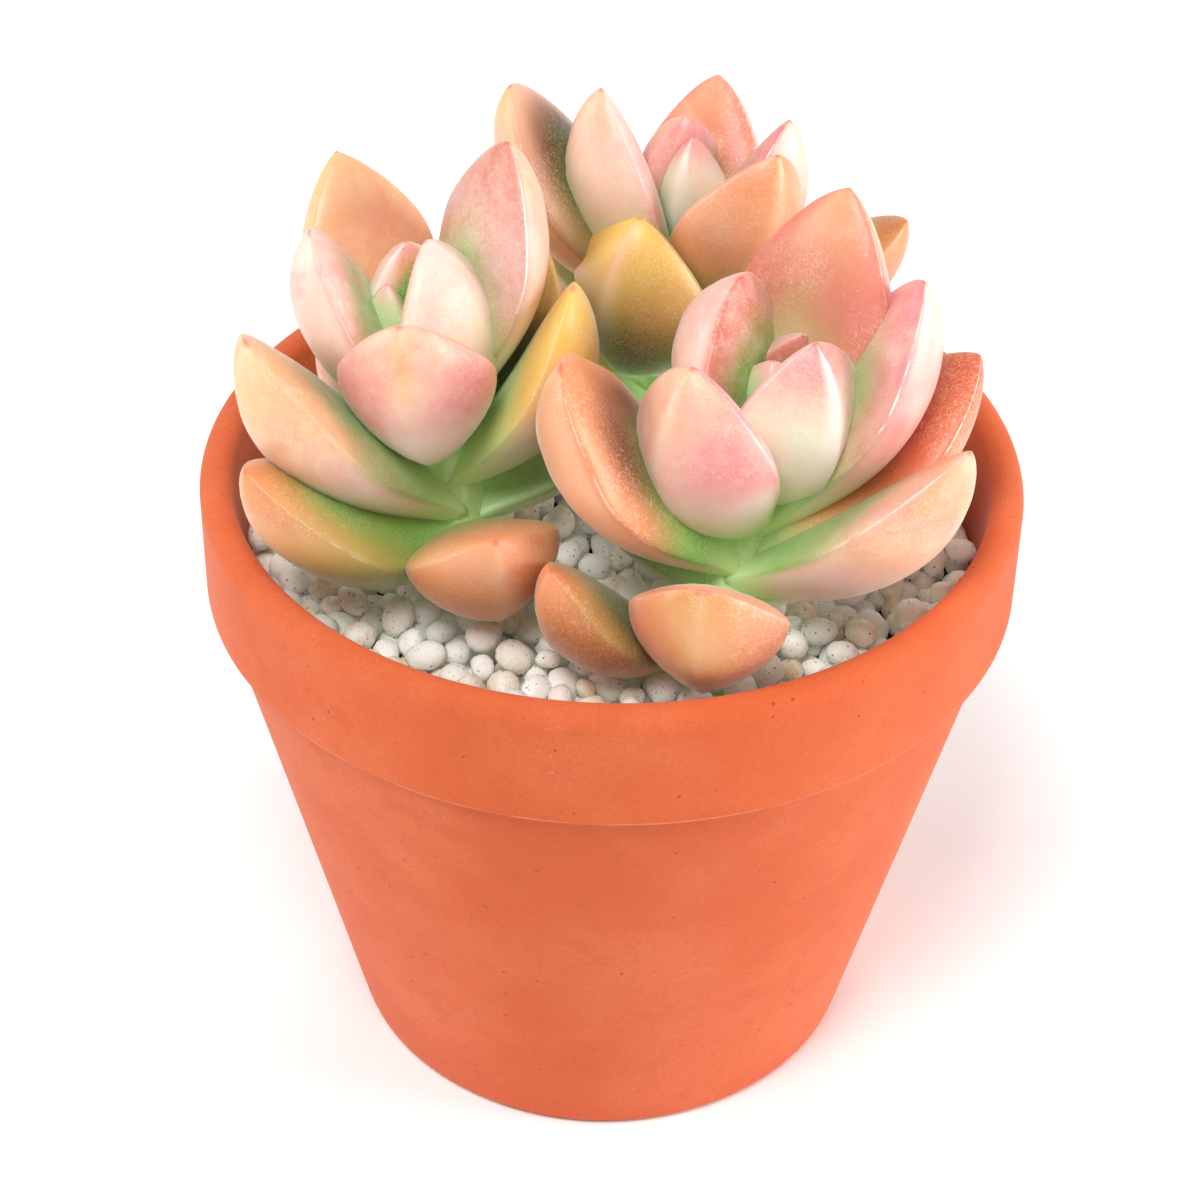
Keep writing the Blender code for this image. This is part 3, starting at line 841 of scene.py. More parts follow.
class Look(Enum):
    """The leaves' looks, named for what stands out."""

    GREEN = LeafLook(
        Hue.HONEY, Hue.LEAF, Hue.LEAF, Hue.PEACH, Hue.MINT, Hue.MINT, flame_and_highlight=0.0, rim_share=0.1,
    )
    BUD = LeafLook(
        Hue.PINK, Hue.LEAF, Hue.GRASS, Hue.PINK, Hue.MINT, Hue.LEAF, back_turn=(0.3, 0.9),
        tip_turn=(0.84, 1.0), flame_and_highlight=0.0, keel=0.4, blotch=0.0, bloom=0.1,
    )
    HEART = LeafLook(
        Hue.PINK, Hue.APRICOT, Hue.GRASS, Hue.PINK, Hue.SHELL, Hue.MINT, face_turn=(0.66, 0.80),
        rim=Hue.MILK, tip_turn=(0.86, 1.0), rim_share=0.9, line=0.8,
    )
    CREAM = LeafLook(
        Hue.SHELL, Hue.CREAM, Hue.MINT, Hue.SHELL, Hue.CREAM, Hue.MINT, back_turn=(0.3, 0.75),
        cheek=Hue.PINK, cheek_share=0.7, cheek_side=-1, flame_and_highlight=0.1, keel=0.5, line=0.6, bloom=0.3,
        blotch=0.25,
    )
    SHELL = LeafLook(
        Hue.PINK, Hue.SALMON, Hue.LEAF, Hue.SHELL, Hue.SHELL, Hue.MILK, face_turn=(0.62, 0.85),
        rim=Hue.PINK, rim_share=0.6, line=0.5, bloom=0.25, blotch=0.7,
    )
    PETAL = LeafLook(
        Hue.SHELL, Hue.PINK, Hue.LEAF, Hue.PEACH, Hue.SHELL, Hue.MINT, back_turn=(0.35, 0.95),
        tip_turn=(0.7, 1.0), cheek=Hue.PINK, cheek_share=0.5, cheek_side=1, flame_and_highlight=0.4, line=0.5,
        bloom=0.2, blotch=0.4,
    )
    APRICOT = LeafLook(
        Hue.HONEY, Hue.APRICOT, Hue.KHAKI, Hue.GOLD, Hue.HONEY, Hue.PEARL, face_turn=(0.15, 0.6),
        tip_turn=(0.7, 1.1), rim=Hue.HONEY, rim_share=0.6, blotch=0.3, line=0.2,
    )
    MAUVE = LeafLook(
        Hue.SALMON, Hue.MAUVE, Hue.LEAF, Hue.PEACH, Hue.SHELL, Hue.PEARL, face_turn=(0.38, 0.72),
        line=1.0, rim=Hue.PINK, rim_share=0.3, bloom=0.2, blotch=0.35,
    )
    ROSY = LeafLook(
        Hue.APRICOT, Hue.ROSE, Hue.LEAF, Hue.PEACH, Hue.PINK, Hue.MILK, back_turn=(0.50, 0.76),
        cheek=Hue.ROSE, cheek_share=0.80, flame_and_highlight=0.9, keel=0.0, line=0.2, blotch=0.5, bloom=0.2,
    )
    YELLOW = LeafLook(
        Hue.GOLD, Hue.GOLD, Hue.LIME, Hue.GOLD, Hue.PEACH, Hue.MINT, face_turn=(0.5, 0.75),
        back_turn=(0.35, 0.7), tip_turn=(0.5, 0.85), cheek=Hue.APRICOT, cheek_share=0.2, rim=Hue.GOLD,
        rim_share=0.5, blotch=0.05,
    )
    SAND = LeafLook(
        Hue.TAN, Hue.HONEY, Hue.LEAF, Hue.HONEY, Hue.HONEY, Hue.SHELL, face_turn=(0.6, 0.8),
        back_turn=(0.45, 0.85), rim=Hue.PEACH, cheek=Hue.PINK, cheek_share=0.15, flame_and_highlight=0.5, bloom=0.15,
        line=0.15, blotch=0.4,
    )
    TAWNY = LeafLook(
        Hue.ORANGE, Hue.TAN, Hue.OLIVE, Hue.APRICOT, Hue.TAN, Hue.KHAKI, back_turn=(0.2, 0.6),
        rim=Hue.HONEY, cheek=Hue.ORANGE, cheek_share=0.5, flame_and_highlight=0.4, keel=0.05, line=0.1, blotch=0.2,
        bloom=0.06,
    )
    FALLEN = LeafLook(
        Hue.ORANGE, Hue.OLIVE, Hue.GRASS, Hue.ORANGE, Hue.TAN, Hue.GRASS, face_turn=(0.5, 0.9),
        rim=Hue.TAN, back_turn=(0.35, 0.85), rim_share=0.5, tip_turn=(0.72, 1.0), line=0.3, blotch=0.1,
        bloom=0.03,
    )
    CUP = LeafLook(
        Hue.SALMON, Hue.PINK, Hue.GRASS, Hue.PINK, Hue.SHELL, Hue.MILK, face_turn=(0.62, 0.9),
        rim=Hue.SALMON, rim_share=0.75, line=0.3, bloom=0.25, blotch=0.25,
    )
    SALMON = LeafLook(
        Hue.APRICOT, Hue.SALMON, Hue.KHAKI, Hue.PEACH, Hue.PINK, Hue.MINT, face_turn=(0.34, 0.7),
        rim=Hue.CORAL, rim_share=0.8, line=0.7, blotch=0.3, bloom=0.04,
    )
    PEARL = LeafLook(
        Hue.PINK, Hue.SHELL, Hue.LEAF, Hue.ROSE, Hue.PEARL, Hue.MINT, back_turn=(0.0, 0.45),
        tip_turn=(0.68, 1.0), rim=Hue.PINK, rim_share=0.5, cheek=Hue.SHELL, cheek_share=0.8, cheek_side=1,
        flame_and_highlight=0.1, keel=0.9, line=0.5, bloom=0.2, blotch=0.2,
    )
    BLUSH = LeafLook(
        Hue.ROSE, Hue.PINK, Hue.LEAF, Hue.PEACH, Hue.PINK, Hue.MILK, back_turn=(0.45, 0.76), rim=Hue.ROSE,
        rim_share=0.5, cheek=Hue.ROSE, cheek_share=0.9, cheek_side=1, flame_and_highlight=0.8, keel=0.35, line=0.4,
        blotch=0.7, bloom=0.18,
    )
    RIBBON = LeafLook(
        Hue.ROSE, Hue.MAUVE, Hue.LEAF, Hue.SHELL, Hue.PINK, Hue.MILK, face_turn=(0.45, 0.95),
        rim=Hue.ROSE, rim_share=0.7, cheek=Hue.ROSE, cheek_share=0.5, line=0.95, blotch=0.5,
    )
    EMBER = LeafLook(
        Hue.EMBER, Hue.EMBER, Hue.TAN, Hue.EMBER, Hue.APRICOT, Hue.PEACH, face_turn=(0.2, 0.7),
        rim=Hue.ORANGE, rim_share=0.2, line=0.8, blotch=0.15, bloom=0.04,
    )
    RUSSET = LeafLook(
        Hue.ORANGE, Hue.RUSSET, Hue.GRASS, Hue.APRICOT, Hue.PEACH, Hue.SHELL, face_turn=(0.34, 0.68),
        back_turn=(0.15, 0.6), tip_turn=(0.66, 1.0), rim=Hue.ORANGE, rim_share=0.95, cheek=Hue.APRICOT,
        cheek_share=0.6, line=0.5, bloom=0.02, blotch=0.05,
    )
    UMBER = LeafLook(
        Hue.PEACH, Hue.RUSSET, Hue.MOSS, Hue.HONEY, Hue.PEACH, Hue.PEARL, face_turn=(0.58, 0.82),
        rim=Hue.PEACH, tip_turn=(0.76, 1.0), rim_share=0.5, cheek=Hue.PEACH, cheek_share=0.6, line=0.3,
        bloom=0.02, blotch=0.05,
    )
    PEACH = LeafLook(
        Hue.APRICOT, Hue.PEACH, Hue.LEAF, Hue.APRICOT, Hue.PEACH, Hue.SHELL, face_turn=(0.5, 0.8),
        back_turn=(0.2, 0.6), rim=Hue.PINK, cheek=Hue.APRICOT, cheek_share=0.6, flame_and_highlight=0.3, line=0.6,
        blotch=0.5, bloom=0.16,
    )
    CHESTNUT = LeafLook(
        Hue.CHESTNUT, Hue.OLIVE, Hue.MOSS, Hue.ORANGE, Hue.CHESTNUT, Hue.OLIVE, face_turn=(0.4, 0.9),
        rim=Hue.TAN, cheek=Hue.CHESTNUT, cheek_share=0.6, flame_and_highlight=0.1, keel=0.05, line=0.1, blotch=0.15,
        bloom=0.03,
    )
    AMBER = LeafLook(
        Hue.ORANGE, Hue.APRICOT, Hue.OLIVE, Hue.ORANGE, Hue.APRICOT, Hue.KHAKI, back_turn=(0.25, 0.65),
        rim=Hue.PINK, cheek=Hue.PEACH, cheek_share=0.4, flame_and_highlight=0.6, line=0.3, blotch=0.3, bloom=0.06,
    )
    GLOW = LeafLook(
        Hue.APRICOT, Hue.APRICOT, Hue.OLIVE, Hue.TAN, Hue.TAN, Hue.PEARL, back_turn=(0.1, 0.5),
        rim=Hue.SALMON, cheek=Hue.SALMON, cheek_share=0.75, flame_and_highlight=0.45, keel=0.05, line=0.2, blotch=0.15,
        bloom=0.04,
    )
    OLIVE = LeafLook(
        Hue.GOLD, Hue.OLIVE, Hue.MOSS, Hue.GOLD, Hue.OLIVE, Hue.MOSS, back_turn=(0.42, 1.0), rim=Hue.TAN,
        tip_turn=(0.6, 1.0), cheek=Hue.TAN, cheek_share=0.6, flame_and_highlight=0.7, keel=0.25, bloom=0.03, blotch=0.1,
        line=0.2,
    )


@dataclass(frozen=True)
class LeafSize:
    """Length, width and thickness of a leaf, how far it curves up, and where along it the leaf is widest."""

    length: float
    width: float
    thickness: float
    bend: float
    widest: float


class Size(Enum):
    """The leaves' sizes."""

    LONG = LeafSize(38.0, 21.0, 11.0, 18.0, 0.62)
    BROAD = LeafSize(38.0, 23.0, 12.0, 24.0, 0.64)
    SPOON = LeafSize(38.0, 23.0, 12.0, 24.0, 0.53)
    MIDDLE = LeafSize(33.0, 19.0, 11.0, 10.0, 0.60)
    FRONT = LeafSize(30.0, 20.0, 13.0, 12.0, 0.61)
    INNER = LeafSize(19.0, 12.5, 7.5, 5.0, 0.62)
    CORE = LeafSize(15.3, 9.6, 7.2, 1.0, 0.52)
    HOOD = LeafSize(24.5, 21.7, 11.6, 15.0, 0.50)


# A leaf's neck as shares of its greatest width and thickness, and the share of its flesh above the margins.
NECK_WIDTH = 0.36
NECK_FLESH = 0.38
UPPER_SHARE = 0.25
# The bend of a leaf that is as good as straight, in radians, and the depth of its dents, in millimetres.
STRAIGHT = 1e-4
DENT = 0.16
# How closely its rings crowd towards the point, and the points of a ring towards the margins.
TIP_CROWDING = 1.55
MARGIN_CROWDING = 0.36


@dataclass(frozen=True)
class Leaf:
    """One leaf: its size, how far up the stem it grows, where it points, how steeply, its look and its turn.

    Blunt and keel go from 0 to 1, grow scales the size, and shift moves the root off the stem's middle line.
    """

    size: Size
    height: float
    azimuth: float
    rise: float
    look: Look
    roll: float = 0.0
    grow: float = 1.0
    bend: float | None = None
    blunt: float = 0.5
    keel: float = 0.3
    shift: tuple[float, float, float] = (0.0, 0.0, 0.0)

    def outline(self, along: np.ndarray) -> np.ndarray:
        """Work out the half width: a neck, a sine swell to the widest place, then a curve to the point.

        That curve is raised to a power that falls towards the end, so that a blunt leaf ends round.

        Args:
            along: Share along the leaf.

        Returns:
            The half width as a share of its largest.
        """
        widest = self.size.value.widest
        swell = NECK_WIDTH + (1 - NECK_WIDTH) * np.sin(math.pi / 2 * np.minimum(along / widest, 1)) ** 1.5
        past = np.maximum((along - widest) / (1 - widest), 0)
        return swell * (1 - past ** 1.75) ** (1 - 0.42 * self.blunt * smooth(0.25, 1.0, past))

    def flesh(self, along: np.ndarray) -> np.ndarray:
        """Work out the thickness: a sine swell from the neck, then a round end.

        Args:
            along: Share along the leaf.

        Returns:
            The thickness as a share of its largest.
        """
        thickest = self.size.value.widest - 0.1
        swell = NECK_FLESH + (1 - NECK_FLESH) * np.sin(math.pi / 2 * np.minimum(along / thickest, 1))
        return swell * (1 - np.maximum((along - thickest) / (1 - thickest), 0) ** 2.3) ** 0.75

    def surface(self, root: np.ndarray, along: np.ndarray, angle: np.ndarray) -> np.ndarray:
        """Carry the section along a circular arc that rises from the stem.

        The section is (w cos a, 0.25 T sin^1.4 a) above and (w cos a, -0.75 T belly) below, turned by the
        roll. The belly lies between a round one and one with a keel. The arc's slope grows evenly from the
        rise by the bend.

        Args:
            root: Where the leaf leaves the stem's middle line.
            along: Share along the leaf.
            angle: Angle around it, in radians.

        Returns:
            Points in millimetres.
        """
        size = self.size.value
        cosine, sine = np.cos(angle), np.sin(angle)
        thickness = size.thickness * self.grow * self.flesh(along)
        dip = np.abs(sine)
        belly = (1 - self.keel) * dip ** 0.95 + self.keel * (1 - np.abs(cosine) ** 1.15)
        level = np.where(sine >= 0, UPPER_SHARE * dip ** 1.4, (UPPER_SHARE - 1) * belly) * thickness
        width = size.width * self.grow / 2 * self.outline(along) * cosine
        roll = math.radians(self.roll)
        across = width * math.cos(roll) - level * math.sin(roll)
        up = width * math.sin(roll) + level * math.cos(roll)
        bend = math.radians(size.bend if self.bend is None else self.bend) or STRAIGHT
        rise = math.radians(self.rise)
        slope = rise + bend * along
        length = size.length * self.grow
        out = length * (np.sin(slope) - math.sin(rise)) / bend - up * np.sin(slope)
        height = length * (math.cos(rise) - np.cos(slope)) / bend + up * np.cos(slope)
        azimuth = math.radians(self.azimuth)
        x = out * math.cos(azimuth) - across * math.sin(azimuth)
        y = out * math.sin(azimuth) + across * math.cos(azimuth)
        return root + np.array(self.shift) + np.stack((x, y, height), -1)

    def add_to(self, draft: Draft, root: np.ndarray, seed: int, rows: int = 44, columns: int = 40) -> None:
        """Add the leaf's closed shell to a draft, dented away from its keel line by slow waves.

        Args:
            draft: The mesh in the making.
            root: Where the leaf leaves the stem's middle line.
            seed: Number that shifts its dents.
            rows: Rings along it, closer together towards the point.
            columns: Points around it, closer together at the margins.
        """
        share = np.arange(rows + 1) / rows
        along = 1 - (1 - share) ** TIP_CROWDING
        even = np.linspace(0, 2 * math.pi, columns, endpoint=False)
        angle = even - MARGIN_CROWDING * np.sin(2 * even)
        t, a = np.meshgrid(along[:-1], angle, indexing="ij")
        points = self.surface(root, t, a)
        outwards = points - self.surface(root, t, a * 0 + 1.5 * math.pi).mean(1, keepdims=True)
        outwards /= np.linalg.norm(outwards, axis=-1, keepdims=True) + 1e-9
        dent = np.sin(5.1 * t + 2.3 * np.cos(a) + seed) * np.sin(3.2 * t - 1.7 * np.sin(a) + 1.3 * seed)
        dent += 0.5 * np.sin(11 * t + 3 * np.cos(a) + 2.1 * seed) * np.cos(2 * a + seed)
        points = points + outwards * (DENT * dent * smooth(0.1, 0.35, t) * (1 - t))[..., None]
        tip = self.surface(root, np.ones(1), np.zeros(1))
        base = points[0].mean(0)[None]
        t_all = np.concatenate((t.ravel(), [0.0, 1.0]))
        cosine, sine = (np.concatenate((wave(a.ravel()), [0.0, 0.0])) for wave in (np.cos, np.sin))
        look = self.look.value
        skin = look.colour(t_all, cosine, sine)
        draft.add(
            np.concatenate((points.reshape(-1, 3), base, tip)),
            tube_faces(rows, columns),
            place=np.stack((cosine, sine, t_all), -1),
            skin=np.concatenate((skin, look.blotch * smooth(0.3, 0.62, t_all)[:, None]), -1),
            traits=np.tile((look.line, look.bloom, seed * 0.1), (len(skin), 1)),
        )


@dataclass
class Plant:
    """One leafy stem: its name, the points that its stem bends through, and its leaves, youngest first."""

    name: str
    foot: tuple[float, float, float]
    waist: tuple[float, float, float]
    top: tuple[float, float, float]
    leaves: tuple[Leaf, ...]
    radius: float = 3.6
    bottom: float = 64.2

    def path(self, share: np.ndarray) -> np.ndarray:
        """Work out the stem's middle line: a quadratic curve led by its three points.

        Args:
            share: Share of the stem's height.

        Returns:
            Points in millimetres.
        """
        share = np.asarray(share, float)[..., None]
        foot, waist, top = (np.array(point) for point in (self.foot, self.waist, self.top))
        return (1 - share) ** 2 * foot + 2 * share * (1 - share) * waist + share ** 2 * top

    def add_stem(self, draft: Draft, columns: int = 32) -> None:
        """Add the stem: circles along its middle line, with faint ribs and a round top.

        Args:
            draft: The mesh in the making.
            columns: Points around it.
        """
        below = np.linspace(self.bottom, self.foot[2], 6, endpoint=False)
        straight = np.stack((0 * below + self.foot[0], 0 * below + self.foot[1], below), -1)
        centre = np.concatenate((straight, self.path(np.linspace(0, 1, 26))))
        rows = len(centre)
        direction = np.gradient(centre, axis=0)
        direction /= np.linalg.norm(direction, axis=1, keepdims=True)
        side = np.cross(direction, (0.0, 1.0, 0.0))
        side /= np.linalg.norm(side, axis=1, keepdims=True)
        other = np.cross(direction, side)
        angle = np.linspace(0, 2 * math.pi, columns, endpoint=False)
        share = np.linspace(0, 1, rows)[:, None]
        ribs = 1 + 0.025 * np.cos(5 * angle + 4 * share) + 0.02 * np.sin(3 * angle - 7 * share)
        girth = self.radius * ribs * (1 + 0.05 * np.sin(9 * share))
        girth = girth * np.sqrt(1 - 0.6 * smooth(0.94, 1.0, share))
        spokes = np.cos(angle)[:, None] * side[:, None] + np.sin(angle)[:, None] * other[:, None]
        points = centre[:, None] + girth[..., None] * spokes
        ends = np.stack((centre[0], centre[-1] + direction[-1] * 0.8))
        count = rows * columns + 2
        flat = np.zeros((count, 3))
        draft.add(
            np.concatenate((points.reshape(-1, 3), ends)),
            tube_faces(rows, columns),
            material=1,
            place=flat,
            skin=np.tile((*Hue.MINT.rgb, 1.0), (count, 1)),
            traits=flat,
        )

    def build(self, materials: list[bpy.types.Material]) -> bpy.types.Object:
        """Build the stem and its leaves as one piece that stands for the plant's solid.

        Args:
            materials: The leaf's and the stem's materials.

        Returns:
            The piece.
        """
        draft = Draft(self.name + "_plant")
        self.add_stem(draft)
        for number, leaf in enumerate(self.leaves):
            leaf.add_to(draft, self.path(leaf.height), number + len(self.name))
        piece = draft.build(materials)
        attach(piece, "root")
        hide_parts("plant_" + self.name)
        return piece


PLANTS = (
    Plant(
        "left",
        foot=(-19.5, -11.0, 81.0),
        waist=(-20.0, -10.0, 94.5),
        top=(-25.0, -5.0, 107.0),
        leaves=(
            Leaf(Size.CORE, 1.00, 208, 76, Look.BUD, shift=(-0.6, -0.8, 0.4)),
            Leaf(Size.INNER, 1.00, 130, 80, Look.HEART),
            Leaf(Size.HOOD, 0.85, 341, 83, Look.CREAM, keel=0.5, shift=(0.0, -2.2, 1.7)),
            Leaf(Size.MIDDLE, 0.80, 185, 57, Look.SHELL, grow=0.97, blunt=1.0),
            Leaf(Size.MIDDLE, 0.80, 133, 54, Look.APRICOT, roll=6, grow=1.10, blunt=0.2),
            Leaf(Size.LONG, 0.80, 29, 70, Look.MAUVE, grow=1.03, bend=8),
            Leaf(Size.FRONT, 0.70, 255, 60, Look.ROSY, roll=12, bend=0),
            Leaf(Size.LONG, 0.55, 62, 50, Look.OLIVE, grow=0.92),
            Leaf(Size.LONG, 0.52, 352, 47, Look.YELLOW, grow=0.90, bend=30, blunt=1.0),
            Leaf(Size.LONG, 0.46, 134, 30, Look.PEACH, grow=0.80),
            Leaf(Size.LONG, 0.38, 206, 39, Look.SAND, grow=1.10, bend=20, blunt=1.0),
            Leaf(Size.LONG, 0.30, 35, 14, Look.GREEN, grow=0.70),
            Leaf(Size.LONG, 0.26, 95, 14, Look.SAND, grow=0.72),
            Leaf(Size.FRONT, 0.20, 283, 21, Look.TAWNY, roll=8, bend=24),
            Leaf(Size.SPOON, 0.18, 214, 23, Look.FALLEN, roll=-6),
        ),
    ),
    Plant(
        "right",
        foot=(14.0, -26.5, 81.0),
        waist=(15.5, -22.5, 92.0),
        top=(22.0, -12.0, 103.0),
        leaves=(
            Leaf(Size.INNER, 1.00, 249, 61, Look.BUD, roll=10, grow=0.95, bend=10),
            Leaf(Size.INNER, 1.00, 113, 95, Look.CUP, roll=-8, grow=0.94, bend=10),
            Leaf(Size.FRONT, 0.80, 152, 72, Look.CUP, bend=16, blunt=1.0),
            Leaf(Size.SPOON, 0.80, 48, 73, Look.SALMON, grow=1.06, bend=-4),
            Leaf(Size.FRONT, 0.75, 306, 73, Look.PEARL, grow=0.97, bend=0, keel=0.55),
            Leaf(Size.FRONT, 0.66, 226, 57, Look.BLUSH, grow=1.04, bend=18),
            Leaf(Size.LONG, 0.64, 5, 52, Look.RIBBON, grow=1.06),
            Leaf(Size.LONG, 0.55, 16, 29, Look.EMBER),
            Leaf(Size.LONG, 0.50, 96, 30, Look.SAND, grow=0.74),
            Leaf(Size.BROAD, 0.48, 194, 41, Look.RUSSET, roll=-16, grow=1.05, blunt=1.0),
            Leaf(Size.LONG, 0.38, 345, 27, Look.PEACH, roll=-20, bend=28),
            Leaf(Size.LONG, 0.34, 56, 14, Look.PEACH, grow=0.76),
            Leaf(Size.LONG, 0.26, 134, 18, Look.GREEN, grow=0.72),
            Leaf(Size.LONG, 0.24, 29, 17, Look.GREEN, grow=0.84),
            Leaf(Size.FRONT, 0.18, 260, 28, Look.GLOW, bend=28, blunt=1.0),
            Leaf(
                Size.MIDDLE, 0.18, 216, 29, Look.CHESTNUT, roll=-10, grow=0.90, bend=30,
                shift=(-5.0, -1.5, -4.0),
            ),
        ),
    ),
    Plant(
        "back",
        foot=(6.0, 22.0, 81.0),
        waist=(6.0, 21.0, 96.0),
        top=(9.0, 22.0, 112.0),
        leaves=(
            Leaf(Size.INNER, 0.93, 247, 93, Look.PEARL, grow=0.88, keel=0.55, shift=(0.6, -2.0, 1.6)),
            Leaf(Size.INNER, 0.95, 130, 86, Look.BLUSH, grow=1.05),
            Leaf(Size.MIDDLE, 0.80, 317, 52, Look.AMBER, roll=-17, grow=0.95),
            Leaf(Size.MIDDLE, 0.75, 197, 67, Look.PETAL, roll=4, grow=1.03),
            Leaf(Size.MIDDLE, 0.70, 351, 58, Look.RIBBON, roll=-12),
            Leaf(Size.MIDDLE, 0.70, 71, 49, Look.SALMON, roll=-16, grow=0.95),
            Leaf(Size.LONG, 0.70, 179, 47, Look.UMBER, roll=-8, grow=1.03),
            Leaf(Size.LONG, 0.50, 354, 25, Look.CHESTNUT, grow=1.02),
            Leaf(Size.LONG, 0.45, 128, 30, Look.PEACH, grow=0.90),
            Leaf(Size.FRONT, 0.42, 253, 57, Look.OLIVE, roll=-20, grow=1.04, bend=20),
            Leaf(Size.LONG, 0.30, 42, 16, Look.SAND, grow=0.90),
            Leaf(Size.LONG, 0.22, 212, 16, Look.GREEN, grow=0.72),
            Leaf(Size.LONG, 0.20, 291, 13, Look.GREEN, grow=0.68),
            Leaf(Size.LONG, 0.20, 150, 12, Look.TAWNY, grow=0.85),
        ),
    ),
)


@dataclass
class PebbleBed:
    """The top dressing: pebbles dropped between the wall and the stems until they rest on each other."""

    pot: Pot
    count: int = 960
    smallest: float = 1.3
    largest: float = 2.5
    soil_top: float = 74.2
    drop: float = 13.0
    sink: float = 0.10
    drift: float = 0.03
    leaf_gap: float = 0.15
    wall_gap: float = 0.2
    wall_slope: float = 0.1
    steps: int = 220
    flattest: tuple[float, float, float] = (0.95, 0.78, 0.8)
    fullest: tuple[float, float, float] = (1.25, 1.02, 0.98)
    lumps: float = 0.065
    swell: float = 1.03
    seed: int = 11

    def settle(self, chance: np.random.Generator, blocks: np.ndarray) -> tuple[np.ndarray, np.ndarray]:
        """Let balls sink, and push apart those that overlap, step by step.

        Args:
            chance: Source of the random draws.
            blocks: Points on the leaves that pebbles keep clear of.

        Returns:
            The balls' centres and radii.
        """
        radius = self.smallest + (self.largest - self.smallest) * chance.beta(2.2, 2.0, self.count)
        spread = np.sqrt(chance.uniform(0, 1, self.count)) * (self.pot.knee - 3)
        turn = chance.uniform(0, 2 * math.pi, self.count)
        height = chance.uniform(self.soil_top + 2, self.soil_top + self.drop, self.count)
        centre = np.stack((spread * np.cos(turn), spread * np.sin(turn), height), -1)
        for step in range(self.steps):
            if step % 8 == 0:
                pairs = self._neighbours(centre)
            centre[:, 2] -= self.sink if step < self.steps * 0.7 else self.drift
            self._part(centre, radius, pairs)
            self._keep_clear_of_stems(centre, radius)
            if step % 4 == 0 and step > self.steps // 3:
                self._keep_clear_of(centre, radius + self.leaf_gap, blocks)
            self._hold_in(centre, radius)
            centre = np.round(centre, 6)
        return centre, radius

    def _neighbours(self, centre: np.ndarray) -> tuple[np.ndarray, np.ndarray]:
        """List the pairs of balls that may touch within the next few steps.

        Args:
            centre: The balls' centres.

        Returns:
            The first and the second ball of each pair, by number.
        """
        apart = centre[:, None] - centre[None]
        near = (apart ** 2).sum(-1) < (2 * self.largest + 2) ** 2
        return np.nonzero(np.triu(near, 1))

    @staticmethod
    def _part(centre: np.ndarray, radius: np.ndarray, pairs: tuple[np.ndarray, np.ndarray]) -> None:
        """Push each pair of overlapping balls apart, by half of their overlap each.

        Args:
            centre: The balls' centres, which are moved.
            radius: Their radii.
            pairs: The pairs to look at.
        """
        first, second = pairs
        apart = centre[first] - centre[second]
        distance = np.sqrt((apart ** 2).sum(-1)) + 1e-6
        overlap = np.maximum(radius[first] + radius[second] - distance, 0)
        push = apart * (overlap / distance)[:, None] * 0.5
        both = np.concatenate((first, second))
        moved = np.concatenate((push, -push))
        count = len(centre)
        touching = np.bincount(both, np.concatenate((overlap, overlap)) > 0, count)
        total = np.stack([np.bincount(both, moved[:, axis], count) for axis in range(3)], -1)
        centre += total / np.maximum(touching * 0.5, 1)[:, None]

    @staticmethod
    def _keep_clear_of(centre: np.ndarray, radius: np.ndarray, blocks: np.ndarray) -> None:
        """Push each ball away from the point that it overlaps most.

        Args:
            centre: The balls' centres, which are moved.
            radius: Their radii, with the gap that is kept.
            blocks: The points.
        """
        apart = centre[:, None] - blocks[None]
        distance = np.sqrt((apart ** 2).sum(-1)) + 1e-6
        overlap = np.maximum(radius[:, None] - distance, 0)
        worst = overlap.argmax(1)
        row = np.arange(len(centre))
        centre += apart[row, worst] * (overlap[row, worst] / distance[row, worst])[:, None]

    @staticmethod
    def _keep_clear_of_stems(centre: np.ndarray, radius: np.ndarray) -> None:
        """Push balls sideways out of the upright stems.

        Args:
            centre: The balls' centres, which are moved.
            radius: Their radii.
        """
        for plant in PLANTS:
            apart = centre[:, :2] - np.array(plant.foot[:2])
            distance = np.sqrt((apart ** 2).sum(-1)) + 1e-6
            overlap = np.maximum(radius + plant.radius - distance, 0)
            centre[:, :2] += apart * (overlap / distance)[:, None]

    def _hold_in(self, centre: np.ndarray, radius: np.ndarray) -> None:
        """Keep balls above the soil and inside the wall, whose radius grows evenly with height.

        Args:
            centre: The balls' centres, which are moved.
            radius: Their radii.
        """
        centre[:, 2] = np.maximum(centre[:, 2], self.soil_top + radius)
        wall = self.pot.knee + (centre[:, 2] - self.soil_top) * self.wall_slope
        limit = wall - radius - self.wall_gap
        distance = np.sqrt((centre[:, :2] ** 2).sum(-1)) + 1e-6
        centre[:, :2] *= np.minimum(1, limit / distance)[:, None]

    @staticmethod
    def _ball() -> tuple[np.ndarray, np.ndarray]:
        """Make a unit ball of nine faces on each side of a cube, pushed out to the sphere.

        Returns:
            Its points and its faces.
        """
        mesh = bpy.data.meshes.new("ball")
        sheet = bmesh.new()
        bmesh.ops.create_cube(sheet, size=2)
        bmesh.ops.subdivide_edges(sheet, edges=sheet.edges, cuts=2, use_grid_fill=True)
        sheet.to_mesh(mesh)
        sheet.free()
        points = np.array([vert.co for vert in mesh.vertices])
        faces = np.array([list(face.vertices) for face in mesh.polygons])
        bpy.data.meshes.remove(mesh)
        points = np.tan(points * math.pi / 4)
        return points / np.linalg.norm(points, axis=1, keepdims=True), faces

